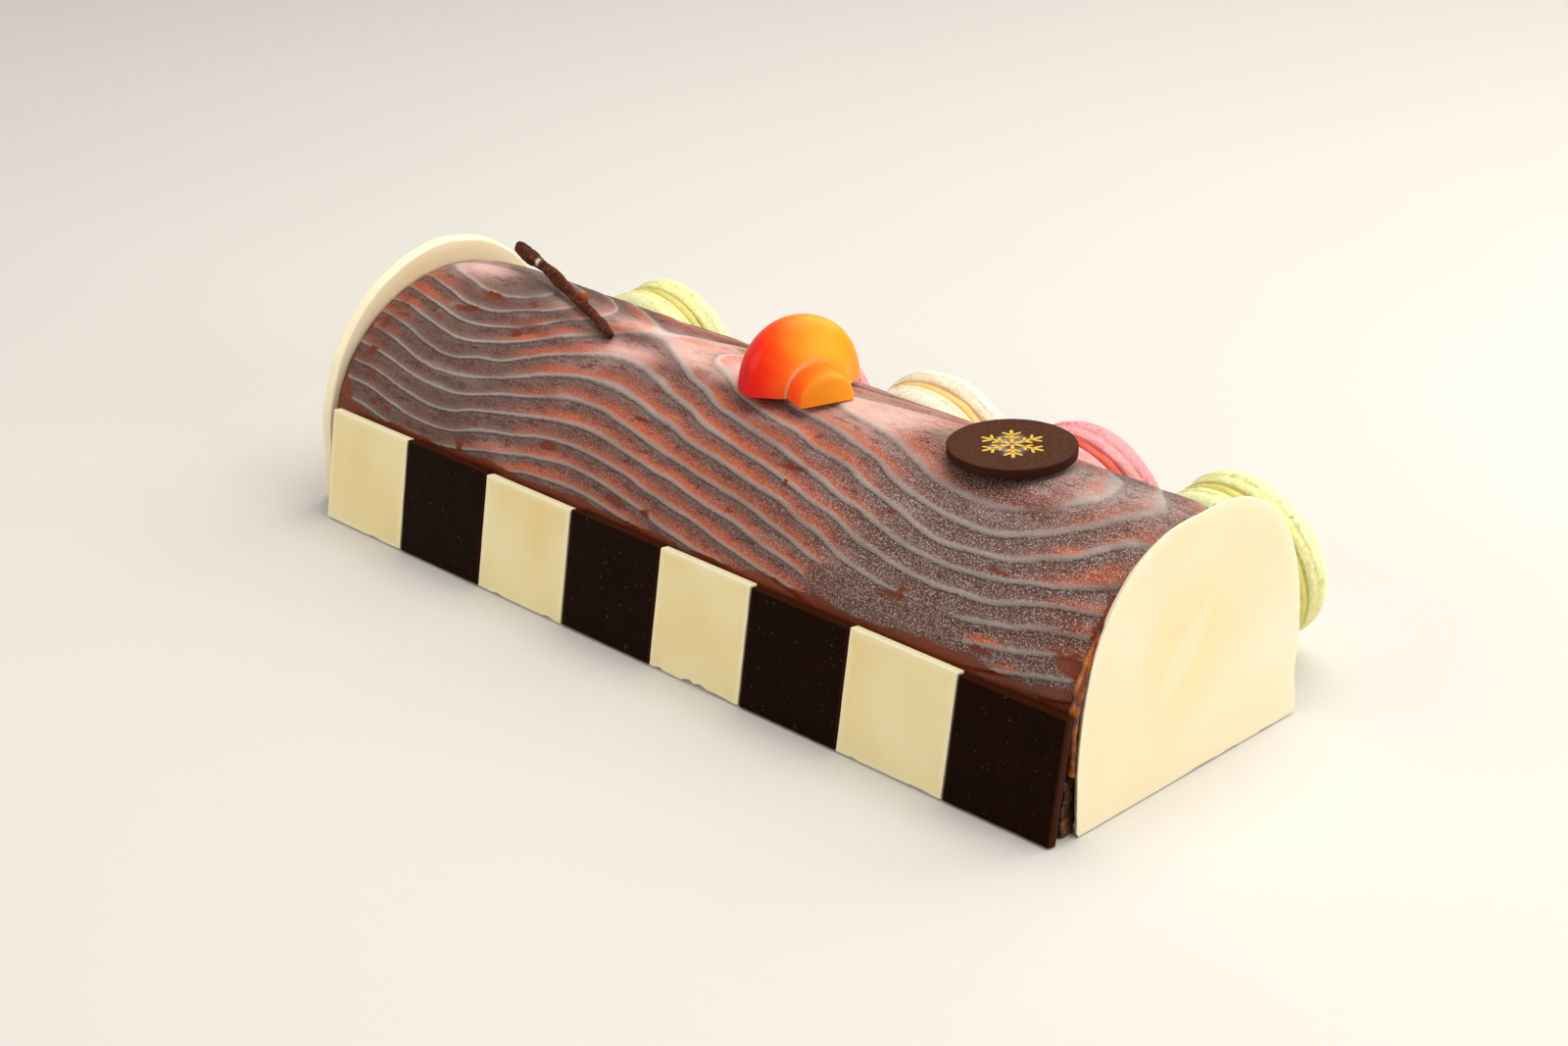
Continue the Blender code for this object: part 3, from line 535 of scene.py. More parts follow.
def sprayed_shell():
    """Moulded chocolate airbrushed with coloured cocoa butter: red at one side, through
    orange to amber, under the mould's high shine."""
    finish, tree, shader, place = new_finish("sprayed_shell", 0.34, 1.47, Specular_IOR_Level=0.22)
    across = add(tree, "Attribute", attribute_name="across").outputs["Fac"]
    cloud = add(tree, "TexNoise", {"Scale": per_mm(7), "Detail": 3.0}, {"Vector": place})
    drift = add(tree, "Math", {1: 0.5}, {0: cloud.outputs["Fac"]}, operation="SUBTRACT")
    drift = add(tree, "Math", {1: 0.16}, {0: drift.outputs[0]}, operation="MULTIPLY")
    spray = add(tree, "Math", None, {0: across, 1: drift.outputs[0]}, operation="ADD")
    body = add(tree, "ValToRGB", None, {"Fac": spray.outputs[0]}, stops=[
        (0.0, "#c00402"), (0.12, "#e40c04"), (0.26, "#f82c08"), (0.38, "#fd5510"),
        (0.50, "#ff8218"), (0.64, "#ffa020"), (0.82, "#ffac24"), (1.0, "#ff9c10")])
    # a pale seam where stem and cap were stuck together
    seam = add(tree, "Attribute", attribute_name="seam").outputs["Fac"]
    broken = add(tree, "Math", {1: 1.5}, {0: cloud.outputs["Fac"]}, operation="MULTIPLY")
    seam = add(tree, "Math", None, {0: seam, 1: broken.outputs[0]},
               operation="MULTIPLY", use_clamp=True)
    body = add(tree, "MixRGB", {"Color2": "#f7b795"}, {"Fac": seam.outputs[0],
                                                       "Color1": body.outputs["Color"]})
    tree.links.new(body.outputs["Color"], shader.inputs["Base Color"])
    fine = add(tree, "TexNoise", {"Scale": per_mm(2.0), "Detail": 3.0}, {"Vector": place})
    bump = add(tree, "Bump", {"Strength": 0.10, "Distance": 0.0003}, {"Height": fine.outputs["Fac"]})
    tree.links.new(bump.outputs["Normal"], shader.inputs["Normal"])
    return finish


def disc_chocolate():
    """Printed chocolate disc: milk-brown and matt with a fine speckle, a rough grey bloom
    in the middle, and a glossier dark edge."""
    finish, tree, shader, place = new_finish("disc_chocolate", 0.6, 1.45, Specular_IOR_Level=0.12)
    near = add(tree, "Attribute", attribute_name="rim").outputs["Fac"]
    speck = add(tree, "TexNoise", {"Scale": per_mm(0.7), "Detail": 3.0, "Roughness": 0.7},
                {"Vector": place})
    speckle = add(tree, "MapRange", {"From Min": 0.35, "From Max": 0.65},
                  {"Value": speck.outputs["Fac"]})
    body = add(tree, "MixRGB", {"Color1": "#3a1c0d", "Color2": "#57311c"},
               {"Fac": speckle.outputs["Result"]})
    patch = add(tree, "TexNoise", {"Scale": per_mm(5), "Detail": 4.0}, {"Vector": place})
    centre = add(tree, "MapRange", {"From Min": 0.66, "From Max": 0.30}, {"Value": near})
    bloom = add(tree, "Math", None, {0: patch.outputs["Fac"], 1: centre.outputs["Result"]},
                operation="MULTIPLY")
    bloom = add(tree, "MapRange", {"From Min": 0.40, "From Max": 0.56, "To Max": 0.75},
                {"Value": bloom.outputs[0]})
    dusty = add(tree, "Math", None, {0: bloom.outputs["Result"], 1: speckle.outputs["Result"]},
                operation="MULTIPLY")
    body = add(tree, "MixRGB", {"Color2": "#b9aaa2"}, {"Fac": dusty.outputs[0],
                                                       "Color1": body.outputs["Color"]})
    side = add(tree, "MapRange", {"From Min": 0.985, "From Max": 1.0}, {"Value": near})
    body = add(tree, "MixRGB", {"Color2": "#341409"}, {"Fac": side.outputs["Result"],
                                                       "Color1": body.outputs["Color"]})
    tree.links.new(body.outputs["Color"], shader.inputs["Base Color"])
    bump = add(tree, "Bump", {"Strength": 0.3, "Distance": 0.0002}, {"Height": speck.outputs["Fac"]})
    tree.links.new(bump.outputs["Normal"], shader.inputs["Normal"])
    return finish


def gold_print():
    """Gold lustre printed on chocolate: a warm metallic film, slightly broken."""
    finish, tree, shader, place = new_finish("gold_print", 0.38, 1.5, Metallic=0.35)
    worn = add(tree, "TexNoise", {"Scale": per_mm(0.9), "Detail": 3.0}, {"Vector": place})
    body = add(tree, "MixRGB", {"Color1": "#eeb52a", "Color2": "#ffe060"}, {"Fac": worn.outputs["Fac"]})
    tree.links.new(body.outputs["Color"], shader.inputs["Base Color"])
    return finish


def twig_chocolate():
    """Dark chocolate piped and rolled like bark: ridged, half matt, with paler scuffs,
    a rusty knot and a white chip."""
    finish, tree, shader, place = new_finish("twig_chocolate", 0.5, 1.45, Specular_IOR_Level=0.12)
    bark = add(tree, "TexNoise", {"Scale": per_mm(1.5), "Detail": 5.0, "Roughness": 0.7},
               {"Vector": place})
    body = add(tree, "ValToRGB", None, {"Fac": bark.outputs["Fac"]}, stops=[
        (0.30, "#210b05"), (0.50, "#4b2112"), (0.62, "#6b321d"), (0.74, "#a06446")])
    knot = add(tree, "Attribute", attribute_name="knot").outputs["Fac"]
    body = add(tree, "MixRGB", {"Color2": "#a8481c"}, {"Fac": knot, "Color1": body.outputs["Color"]})
    chip = add(tree, "Attribute", attribute_name="chip").outputs["Fac"]
    body = add(tree, "MixRGB", {"Color2": "#e9ddd2"}, {"Fac": chip, "Color1": body.outputs["Color"]})
    tree.links.new(body.outputs["Color"], shader.inputs["Base Color"])
    bump = add(tree, "Bump", {"Strength": 0.8, "Distance": 0.0005}, {"Height": bark.outputs["Fac"]})
    tree.links.new(bump.outputs["Normal"], shader.inputs["Normal"])
    return finish


def biscuit_crumb():
    """Baked almond biscuit, broken open: tan crumbs with painted shade in the holes between them, dry
    all over.
    """
    finish, tree, shader, place = new_finish("biscuit_crumb", 0.85, 1.4)
    crumb = add(tree, "TexVoronoi", {"Scale": per_mm(1.8), "Randomness": 1.0}, {"Vector": place})
    grit = add(tree, "TexNoise", {"Scale": per_mm(0.9), "Detail": 4.0, "Roughness": 0.7},
               {"Vector": place})
    body = add(tree, "ValToRGB", None, {"Fac": grit.outputs["Fac"]}, stops=[
        (0.30, "#2c1207"), (0.42, "#6a3b1c"), (0.55, "#9c6638"), (0.72, "#c79762")])
    # painted shade: the holes between crumbs are drawn dark, darkest furthest from each crumb's centre
    deep = add(tree, "MapRange", {"From Min": 0.30, "From Max": 0.62, "To Max": 0.75},
               {"Value": crumb.outputs["Distance"]})
    body = add(tree, "MixRGB", {"Color2": "#241007"}, {"Fac": deep.outputs["Result"],
                                                       "Color1": body.outputs["Color"]})
    tree.links.new(body.outputs["Color"], shader.inputs["Base Color"])
    bump = add(tree, "Bump", {"Strength": 0.9, "Distance": 0.0008}, {"Height": grit.outputs["Fac"]})
    tree.links.new(bump.outputs["Normal"], shader.inputs["Normal"])
    return finish


def studio_floor():
    """Matt pale card under the cake."""
    finish, tree, shader, place = new_finish("studio_floor", 0.8, 1.45)
    tone = add(tree, "TexNoise", {"Scale": 3.0, "Detail": 2.0}, {"Vector": place})
    body = add(tree, "MixRGB", {"Color1": "#d8d5d0", "Color2": "#dddad5"}, {"Fac": tone.outputs["Fac"]})
    tree.links.new(body.outputs["Color"], shader.inputs["Base Color"])
    return finish


# the loaf

def loaf_section():
    """The loaf's outline, front foot to back foot, with the distance round it."""
    t = np.linspace(0, math.pi, 1201)
    power = 2.0 / ROUNDNESS
    y = -HALF_WIDTH * np.sign(np.cos(t)) * np.abs(np.cos(t)) ** power
    z = SHOULDER + (CREST - SHOULDER) * np.abs(np.sin(t)) ** power
    y = np.concatenate([[-HALF_WIDTH], y, [HALF_WIDTH]])
    z = np.concatenate([[0.0], z, [0.0]])
    away = np.concatenate([[0.0], np.cumsum(np.hypot(np.diff(y), np.diff(z)))])
    return y, z, away


SECTION_Y, SECTION_Z, SECTION_U = loaf_section()
MID_U = SECTION_U[-1] / 2


def left_end(z):
    """Where the loaf stops at the left, at a height."""
    return LEFT_FOOT + LEFT_LEAN * z / PLATE_TOP + LEFT_THICK + GAP


def right_end(z):
    """Where the loaf stops at the right, at a height."""
    return RIGHT_FOOT - RIGHT_LEAN * z / PLATE_TOP - RIGHT_THICK - GAP


def grain(x, u):
    """Number of the grain line at a place on the loaf."""
    w = MID_U - (np.hypot(u - MID_U, CREST_SOFTNESS) - CREST_SOFTNESS)
    value = (w - GRAIN_ORIGIN) / GRAIN_PITCH + GRAIN_START + GRAIN_SLOPE * x
    for lift, cx, cu, hx, hu in SWELLS:
        value = value + lift * np.exp(-((x - cx) / hx) ** 2 - ((w - cu) / hu) ** 2)
    return value


def ridge(line):
    """Height of the grain from 0 to 1: a lip on each line, a slope above, a step below."""
    p = line - np.floor(line)
    slope = 0.5 + 0.5 * np.cos(np.pi * np.clip(p / RIDGE_STEP, 0, 1))
    step = 0.5 - 0.5 * np.cos(np.pi * np.clip((p - RIDGE_STEP) / (1 - RIDGE_STEP), 0, 1))
    lip = 0.16 * (np.exp(-(p / 0.08) ** 2) + np.exp(-((p - 1) / 0.05) ** 2))
    return np.where(p > RIDGE_STEP, step, slope) + lip


def patches(x, u, spots):
    """Soft spots, each a centre, two half sizes and a strength, joined into one map."""
    cover = np.zeros_like(x)
    for cx, cu, hx, hu, strength in spots:
        near = np.exp(-(((x - cx) / hx) ** 2 + ((u - cu) / hu) ** 2) * 0.7)
        cover = np.maximum(cover, strength * near)
    return cover


# where the spray missed: centre along and round, half length, half height, strength
BARE_SPOTS = (
    (-104.5, 83.5, 5.5, 1.6, 0.85), (-90, 86, 3.4, 1.5, 0.8), (-107, 75, 5.0, 1.7, 0.85),
    (-114, 69, 2.4, 1.2, 0.6), (-122, 38, 3.4, 1.1, 0.8), (-116, 37.5, 3.0, 1.0, 0.7),
    (-105, 35.6, 1.4, 1.6, 0.8), (-98.5, 35.2, 1.8, 1.6, 0.8), (-82, 36, 1.8, 1.6, 0.8),
    (-78, 43.5, 1.6, 1.2, 0.75), (-83, 73, 2.6, 1.3, 0.7), (-55, 51, 5.0, 1.1, 0.75),
    (-48, 45.3, 2.6, 1.2, 0.75), (-16, 38, 5.0, 1.2, 0.9), (-6, 38, 4.0, 1.2, 0.8),
    (8, 76.2, 3.4, 1.0, 0.6), (5.5, 63.5, 2.0, 0.8, 0.6), (-23, 71.3, 6.0, 1.0, 0.65),
    (-20, 61.8, 9.0, 0.8, 0.55), (36, 65, 6.0, 1.2, 0.6), (35, 60, 0.9, 1.6, 0.7),
    (22, 47.5, 5.0, 0.9, 0.6), (60, 59, 2.2, 1.2, 0.6), (84.5, 44.5, 1.5, 3.2, 0.85),
    (80, 43.2, 4.5, 0.7, 0.7), (108, 58, 4.0, 1.0, 0.75), (113, 38.6, 3.0, 0.9, 0.8),
    (140, 43.5, 5.0, 3.5, 0.95), (82, 63.3, 5.0, 0.8, 0.6), (118, 35.2, 6.0, 0.9, 0.75),
    (137, 36.0, 7.0, 0.8, 0.6), (-130, 70, 2.6, 1.6, 0.7), (-132, 62, 2.2, 2.2, 0.7),
    (-131, 52, 2.6, 2.4, 0.7), (-127, 45, 3.0, 2.0, 0.7), (70, 63, 4.0, 0.8, 0.5),
)
# where the spray is thin and the glaze shows as dark red-brown
THIN_SPOTS = (
    (99, 79.5, 18.0, 4.4, 1.0), (86, 82.5, 9.0, 4.0, 0.95), (-47, 86.8, 7.0, 2.8, 0.9),
    (-80, 76.5, 8.0, 2.0, 0.8), (62, 88, 7.0, 6.0, 0.35), (104, 85.5, 9.0, 3.0, 0.6),
    (132, 84, 6.0, 6.0, 0.6), (-100, 82, 16.0, 2.4, 0.5), (133, 50, 8.0, 6.0, 0.7),
    (139, 62, 6.0, 14.0, 0.65), (138, 90, 5.0, 9.0, 0.8), (-132, 66, 5.0, 20.0, 0.55),
    (126, 65, 8.0, 1.6, 0.5), (30, 70, 16.0, 1.6, 0.4), (-110, 88, 9.0, 1.8, 0.45),
    (-70, 58, 30.0, 1.5, 0.35), (10, 80, 20.0, 2.0, 0.4), (40, 52, 24.0, 2.0, 0.35),
)
# orange showing through
EMBER_SPOTS = (
    (131, 69.5, 12.0, 1.7, 1.0), (134, 59.5, 10.0, 1.4, 0.7),
    (135, 66, 12.0, 4.0, 1.0), (138, 60, 12.0, 3.2, 1.0), (139, 54, 6.0, 2.0, 0.8),
    (138, 48.5, 6.0, 1.6, 0.8), (140, 80, 4.0, 9.0, 0.9), (66, 88, 7.0, 8.0, 0.7),
    (-128, 77, 9.0, 3.5, 0.75), (-126, 84, 8.0, 3.0, 0.6),
    (-130, 71, 6.0, 2.4, 0.55), (-76, 73, 9.0, 5.0, 0.9), (-60, 70, 16.0, 5.0, 0.55),
    (-62, 38, 14.0, 2.4, 0.9), (-40, 35, 26.0, 1.2, 0.8), (0, 52, 26.0, 12.0, 0.5),
    (22, 40, 26.0, 6.0, 0.55), (45, 76, 16.0, 5.0, 0.6), (70, 78, 9.0, 4.0, 0.6),
    (112, 41.5, 4.5, 1.6, 0.9), (121, 37.8, 3.4, 1.5, 0.7), (20, 78, 12.0, 2.5, 0.5),
)
# darker, smoky grey
SMOKE_SPOTS = (
    (-99, 94, 7.5, 6.0, 0.80), (-92, 89, 8.0, 3.0, 0.55), (-62, 83, 6.5, 2.0, 0.70),
    (-76, 85, 5.0, 2.2, 0.65), (-47, 98.5, 10.0, 2.6, 0.30), (37, 104, 8.0, 2.5, 0.30),
    (-73, 95.5, 9.0, 1.4, 0.25),
)
# thick pale frost
FROST_SPOTS = (
    (120, 93, 18.0, 6.0, 0.45),
    (-83, 91.5, 4.5, 1.8, 0.9), (-95, 54.5, 10.0, 1.3, 0.45), (-100, 49.2, 8.0, 0.9, 0.35),
    (-46, 82, 8.5, 3.4, 0.45), (104, 101, 12.0, 4.5, 0.9), (121, 101, 14.0, 6.0, 0.9),
    (113.5, 90, 3.6, 8.0, 0.75), (104, 84.6, 5.0, 1.3, 0.60), (-65, 90, 4.0, 7.0, 0.35),
    (132, 98, 6.0, 4.0, 0.5), (136, 79.5, 2.6, 2.4, 0.55), (98, 72.5, 10.0, 1.6, 0.45),
)


def build_loaf(finish):
    """The loaf's skin with its carved grain, and maps of where each spray colour lies."""
    low = [BISCUIT_TOP + GAP, 18.0, 22.0, 26.0, 29.0, 31.5]
    far = SECTION_U[-1]
    rows = np.array(low + list(np.arange(GRAIN_FOOT, far - GRAIN_FOOT, LOAF_ROW_STEP))
                    + [far - v for v in reversed(low)])
    share = np.linspace(0, 1, LOAF_COLUMNS)
    u, c = np.meshgrid(rows, share, indexing="ij")
    u, c = u.ravel(), c.ravel()
    y, z = np.interp(u, SECTION_U, SECTION_Y), np.interp(u, SECTION_U, SECTION_Z)
    step = 0.4
    dy = np.interp(u + step, SECTION_U, SECTION_Y) - np.interp(u - step, SECTION_U, SECTION_Y)
    dz = np.interp(u + step, SECTION_U, SECTION_Z) - np.interp(u - step, SECTION_U, SECTION_Z)
    size = np.hypot(dy, dz)
    ny, nz = -dz / size, dy / size
    length = right_end(z) - left_end(z)
    x = left_end(z) + c * length
    spot = np.column_stack([x, u, np.zeros_like(x)])
    stretched = spot / (2.5, 1.0, 1.0)
    # the lines of a carved mould bend a little here and there
    line = grain(x + 2.0 * soft_noise(spot, 9.0, 11), u + 0.5 * soft_noise(stretched, 5.0, 12)
                 + 0.06 * soft_noise(stretched, 1.7, 15))
    relief = ramp(u, GRAIN_FOOT - 1.0, GRAIN_FOOT + 2.0) \
        * (1 - ramp(u, far - GRAIN_FOOT - 2.0, far - GRAIN_FOOT + 1.0)) \
        * ramp(c * length, 0.0, 1.5) * ramp((1 - c) * length, 0.0, 1.5)
    near = MID_U - np.abs(u - MID_U)
    # the grain runs out in a smooth patch low on the right
    plain = ramp(x + 4.0 * soft_noise(spot, 9.0, 16), 50.0, 62.0) * (1 - ramp(x, 100.0, 112.0)) \
        * (1 - ramp(near, 42.0, 46.0))
    deep = GRAIN_DEPTH * (0.55 + 0.45 * ramp(x, -90.0, -30.0)) * (1 - 0.85 * plain)
    push = relief * (deep * (ridge(line) - 0.5) + 0.13 * soft_noise(spot, 6.5, 13)
                     + 0.05 * soft_noise(spot, 1.7, 14))
    push -= END_ROLL * (np.exp(-c * length / END_ROLL_LENGTH)
                        + np.exp((c - 1) * length / END_ROLL_LENGTH))
    y, z = y + ny * push, z + nz * push
    x = left_end(z) + c * (right_end(z) - left_end(z))
    level = np.where(plain > 0.5, np.floor(line) + 0.62, line)
    # where each colour of the spray lies
    drift = 6.0 * soft_noise(spot, 22.0, 21)
    crest = ramp(near + 0.5 * drift, 72.0, 84.0)
    warm = ramp(x + drift + 0.35 * (near - 55.0), -80.0, -56.0)
    warm = warm * (1 - (1 - crest) * ramp(x + drift, 50.0, 76.0))
    warm = np.maximum(warm, 0.75 * (1 - ramp(x + 0.6 * drift, -132.0, -122.0)) * ramp(near, 50.0, 64.0))
    warm *= 0.80 + 0.20 * ramp(near, 38.0, 52.0)
    warm *= 0.80 + 0.35 * soft_noise(stretched, 10.0, 22)
    broad = ramp(x + 2.0 * drift, -70.0, -10.0)
    middle = np.exp(-((x - 2) / 60.0) ** 4)
    velvet = ramp(near + 0.5 * drift, 82.0, 92.0) * (0.35 + 0.65 * middle)
    velvet = np.maximum(velvet, 0.95 * patches(x, u, (
        (-46, 82, 9.0, 4.0, 1.0), (44, 94, 24.0, 8.5, 1.0),
        (-122, 96, 12.0, 6.0, 0.9), (-126, 91, 7.0, 3.0, 0.6))))
    velvet *= 1 - 0.8 * patches(x, u, ((62, 88, 6.0, 8.0, 1.0), (-47, 87, 7.0, 2.8, 1.0),
                                       (100, 84, 12.0, 8.0, 0.9), (130, 86, 8.0, 9.0, 0.9),
                                       (-88, 84, 14.0, 7.0, 0.9)))
    # bare glaze along the foot and at both ends
    edge = 1.3 * soft_noise(stretched, 4.0, 31)
    foot = 1 - ramp(near + edge - 0.018 * (x - 20.0).clip(0, 200), GRAIN_FOOT, GRAIN_FOOT + 2.6)
    ends = np.maximum(0.95 * (1 - ramp(x + edge - 0.55 * (46.0 - near).clip(0, 12), -141.0, -135.0)),
                      0.9 * ramp(x + edge, 138.5, 142.5))
    bare = np.maximum(np.maximum(foot, ends), patches(x, u, BARE_SPOTS))
    back = ramp(u, 106.0, 112.0)
    bare = np.maximum(bare * (1 - back) + back * np.maximum(foot, ends),
                      0.8 * back * ramp(soft_noise(stretched, 3.4, 33), 0.55, 0.85))
    ember = np.maximum(patches(x, u, EMBER_SPOTS),
                       0.7 * warm * ramp(soft_noise(stretched, 6.0, 34), 0.15, 0.8))
    icy = 0.30 + 0.42 * ramp(x + drift, 20.0, 80.0) - 0.12 * ramp(-x + drift, 60.0, 90.0)
    icy *= 1 - 0.6 * velvet
    smoke = patches(x, u, SMOKE_SPOTS)
    thin = patches(x, u, THIN_SPOTS)
    frost = patches(x, u, FROST_SPOTS) * (0.8 + 0.35 * soft_noise(spot, 2.4, 35))
    frost = np.maximum(frost, 0.30 * ramp(soft_noise(stretched, 5.0, 36), 0.45, 0.9))
    faces = quads(len(rows), len(share)).tolist()
    count = len(share)
    last = (len(rows) - 1) * count
    faces += [[last + i, last + i + 1, i + 1, i] for i in range(count - 1)]
    faces.append([r * count for r in range(len(rows))][::-1])
    faces.append([r * count + count - 1 for r in range(len(rows))])
    piece("loaf", np.column_stack([x, y, z]), faces, finish, "log",
          {"grain_line": level, "warmth": warm, "velvet": velvet, "bare": bare, "ember": ember,
           "icy": icy, "smoke": smoke, "thin": thin, "frost": frost, "broad": broad})


def build_bead(finish):
    """Glaze squeezed out in a wavy bead between the loaf and the right plate."""
    u = np.arange(16.5, SECTION_U[-1] - 16.5, 0.5)
    y, z = np.interp(u, SECTION_U, SECTION_Y), np.interp(u, SECTION_U, SECTION_Z)
    dy, dz = np.gradient(y), np.gradient(z)
    size = np.hypot(dy, dz)
    out = np.column_stack([np.zeros_like(u), -dz / size, dy / size])
    spot = np.column_stack([u, np.zeros_like(u), np.zeros_like(u)])
    swell = 0.5 * soft_noise(spot, 5.0, 45) + 0.3 * soft_noise(spot, 1.8, 46)
    radius = (0.95 + 0.35 * swell) * (0.55 + 0.45 * ramp(-z, -54.0, -36.0))
    centre = np.column_stack([right_end(z) + 0.7, y, z]) + out * (0.3 * swell - 0.4)[:, None]
    angle = np.linspace(0, 2 * math.pi, BEAD_SIDES, endpoint=False)
    k, j = np.meshgrid(np.arange(len(u)), np.arange(BEAD_SIDES), indexing="ij")
    k, j = k.ravel(), j.ravel()
    pts = centre[k] + out[k] * (radius[k] * np.cos(angle[j]))[:, None]
    pts[:, 0] += 1.4 * radius[k] * np.sin(angle[j])
    faces = quads(len(u), BEAD_SIDES, around=True).tolist()
    last = (len(u) - 1) * BEAD_SIDES
    faces += [list(range(BEAD_SIDES))[::-1], [last + i for i in range(BEAD_SIDES)]]
    piece("glaze_bead", pts, [f[::-1] for f in faces], finish)


def build_biscuit(finish):
    """Crumbly layer under the loaf, closed all round."""
    count = 300
    rows = [(-48.2 + 0.11 * z, z) for z in np.linspace(0.3, BISCUIT_TOP, 16)]
    rows += [(y, BISCUIT_TOP) for y in np.linspace(-40, 40, 9)]
    rows += [(45.0, z) for z in np.linspace(BISCUIT_TOP, 0.3, 16)]
    rows += [(y, 0.0) for y in np.linspace(44.0, -47.0, 9)]
    sec = np.array(rows)
    share = np.linspace(0, 1, count)
    k, c = np.meshgrid(np.arange(len(sec)), share, indexing="ij")
    k, c = k.ravel(), c.ravel()
    y, z = sec[k, 0], sec[k, 1]
    x = left_end(z) + c * (right_end(z) - left_end(z))
    spot = np.column_stack([x, y, z])
    out = np.sign(y) * (np.abs(y) > 44.5)
    rough = 0.75 * soft_noise(spot, 4.0, 41) + 0.45 * soft_noise(spot, 1.6, 42) - 0.35
    y = y + 4.0 * (1 - ramp(x, -137.0, -131.0)) * (y < -40.0)
    y = y + out * np.clip(rough, -1.4, 0.55)
    faces = quads(len(sec), count).tolist()
    last = (len(sec) - 1) * count
    faces += [[last + i, last + i + 1, i + 1, i] for i in range(count - 1)]
    faces.append([r * count for r in range(len(sec))][::-1])
    faces.append([r * count + count - 1 for r in range(len(sec))])
    piece("biscuit", np.column_stack([x, y, z]), faces, finish, "biscuit_base")


# end plates and squares

def plate_outline(half_width, shoulder, top, power, skew, seed, chips):
    """Arched outline, cut by hand and a little nibbled: the solid's arch, give or take
    a third of a millimetre."""
    arch = top - shoulder
    t = np.linspace(0, math.pi, 300)
    c, s = np.cos(t), np.sin(t)
    y = half_width * np.sign(c) * np.abs(c) ** (2 / power)
    z = shoulder + arch * np.abs(s) ** (2 / power)
    y = y + skew * (z - shoulder) / arch
    side = np.linspace(1.2, shoulder, 24)[:-1]
    foot = np.linspace(half_width - 1.0, -half_width + 1.0, 70)
    outline = np.vstack([np.column_stack([np.full(23, half_width), side]), np.column_stack([y, z]),
                         np.column_stack([np.full(23, -half_width), side[::-1]]),
                         np.column_stack([foot[::-1], np.zeros(70)])])
    flat = np.column_stack([outline, np.zeros(len(outline))])
    away = outline - (0.0, 0.5 * shoulder)
    away /= np.linalg.norm(away, axis=1, keepdims=True)
    bump = 0.22 * soft_noise(flat, 9.0, seed) + 0.10 * soft_noise(flat, 2.2, seed + 1) - 0.05
    for cy, cz, reach, depth in chips:
        near = np.hypot(outline[:, 0] - cy, outline[:, 1] - cz) / reach
        bump -= depth * np.clip(1 - near * near, 0, None)
    above = outline[:, 1] > 0.05
    outline[above] += away[above] * bump[above, None]
    outline[~above, 1] += 0.25 * ramp(soft_noise(flat[~above], 3.0, seed + 2), 0.3, 0.9)
    return outline


def build_plate(name, outline, foot_x, thick, lean, facing, slant, finish):
    """An end plate, leaning towards the loaf; facing is 1 to the right, -1 to the left."""
    pts, faces, near = tablet(outline, thick, 0.45, slant)
    # spread by hand: the face is not quite flat
    pts[:, 2] += 0.12 * (1 - near) ** 0.5 * soft_noise(pts, 24.0, 51)
    pts[:, 2] *= facing
    if facing < 0:
        faces = [f[::-1] for f in faces]
    tilt = math.atan2(lean, PLATE_TOP)
    upright = Matrix(((0, 0, 1), (1, 0, 0), (0, 1, 0))).to_4x4()
    spot = Matrix.Translation((foot_x - facing * thick / 2, 0, thick * math.sin(tilt))) \
        @ Matrix.Rotation(-facing * tilt, 4, "Y") @ upright
    pts = moved(pts, spot)
    pts[:, 2] = np.clip(pts[:, 2], 0.0, None)
    pts[:, 0] = np.clip(pts[:, 0], LEFT_FOOT, RIGHT_FOOT)
    piece(name + "_cut", pts, faces, finish, name, {"rim": near})


def square_outline(width, height, seed, chips):
    """A square cut from a sheet, sharp cornered, with a slightly broken foot."""
    corner = 0.25
    half = width / 2
    n = 60
    foot = np.linspace(-half + corner, half - corner, n)
    side = np.linspace(corner, height - corner, n)
    outline = np.vstack([
        np.column_stack([foot, np.zeros(n)]), np.column_stack([np.full(n, half), side]),
        np.column_stack([foot[::-1], np.full(n, height)]),
        np.column_stack([np.full(n, -half), side[::-1]])])
    flat = np.column_stack([outline, np.zeros(len(outline))])
    inset = 0.07 * (1 + soft_noise(flat, 5.0, seed))
    outline[:, 0] -= np.sign(outline[:, 0]) * inset * (np.abs(outline[:, 0]) > half - 0.5)
    low = outline[:, 1] < 0.02
    outline[low, 1] += 0.06 * (1 + soft_noise(flat[low], 2.5, seed + 1))
    for cx, reach, depth in chips:
        near = np.abs(outline[low, 0] - cx) / reach
        outline[low, 1] += depth * np.clip(1 - near ** 2, 0, None)
    return outline


# chips out of the foot of some squares: across, reach, depth
SQUARE_CHIPS = {
    5: ((-13.0, 1.6, 0.5), (-2.6, 1.8, 0.6), (-1.0, 1.1, 0.7), (2.2, 2.6, 0.7), (8.0, 7.0, 0.35)),
    1: ((5.0, 3.0, 0.3),),
    3: ((-9.0, 2.0, 0.3), (12.0, 2.4, 0.4)),
    7: ((-12.0, 2.0, 0.25), (10.0, 4.0, 0.25)),
}


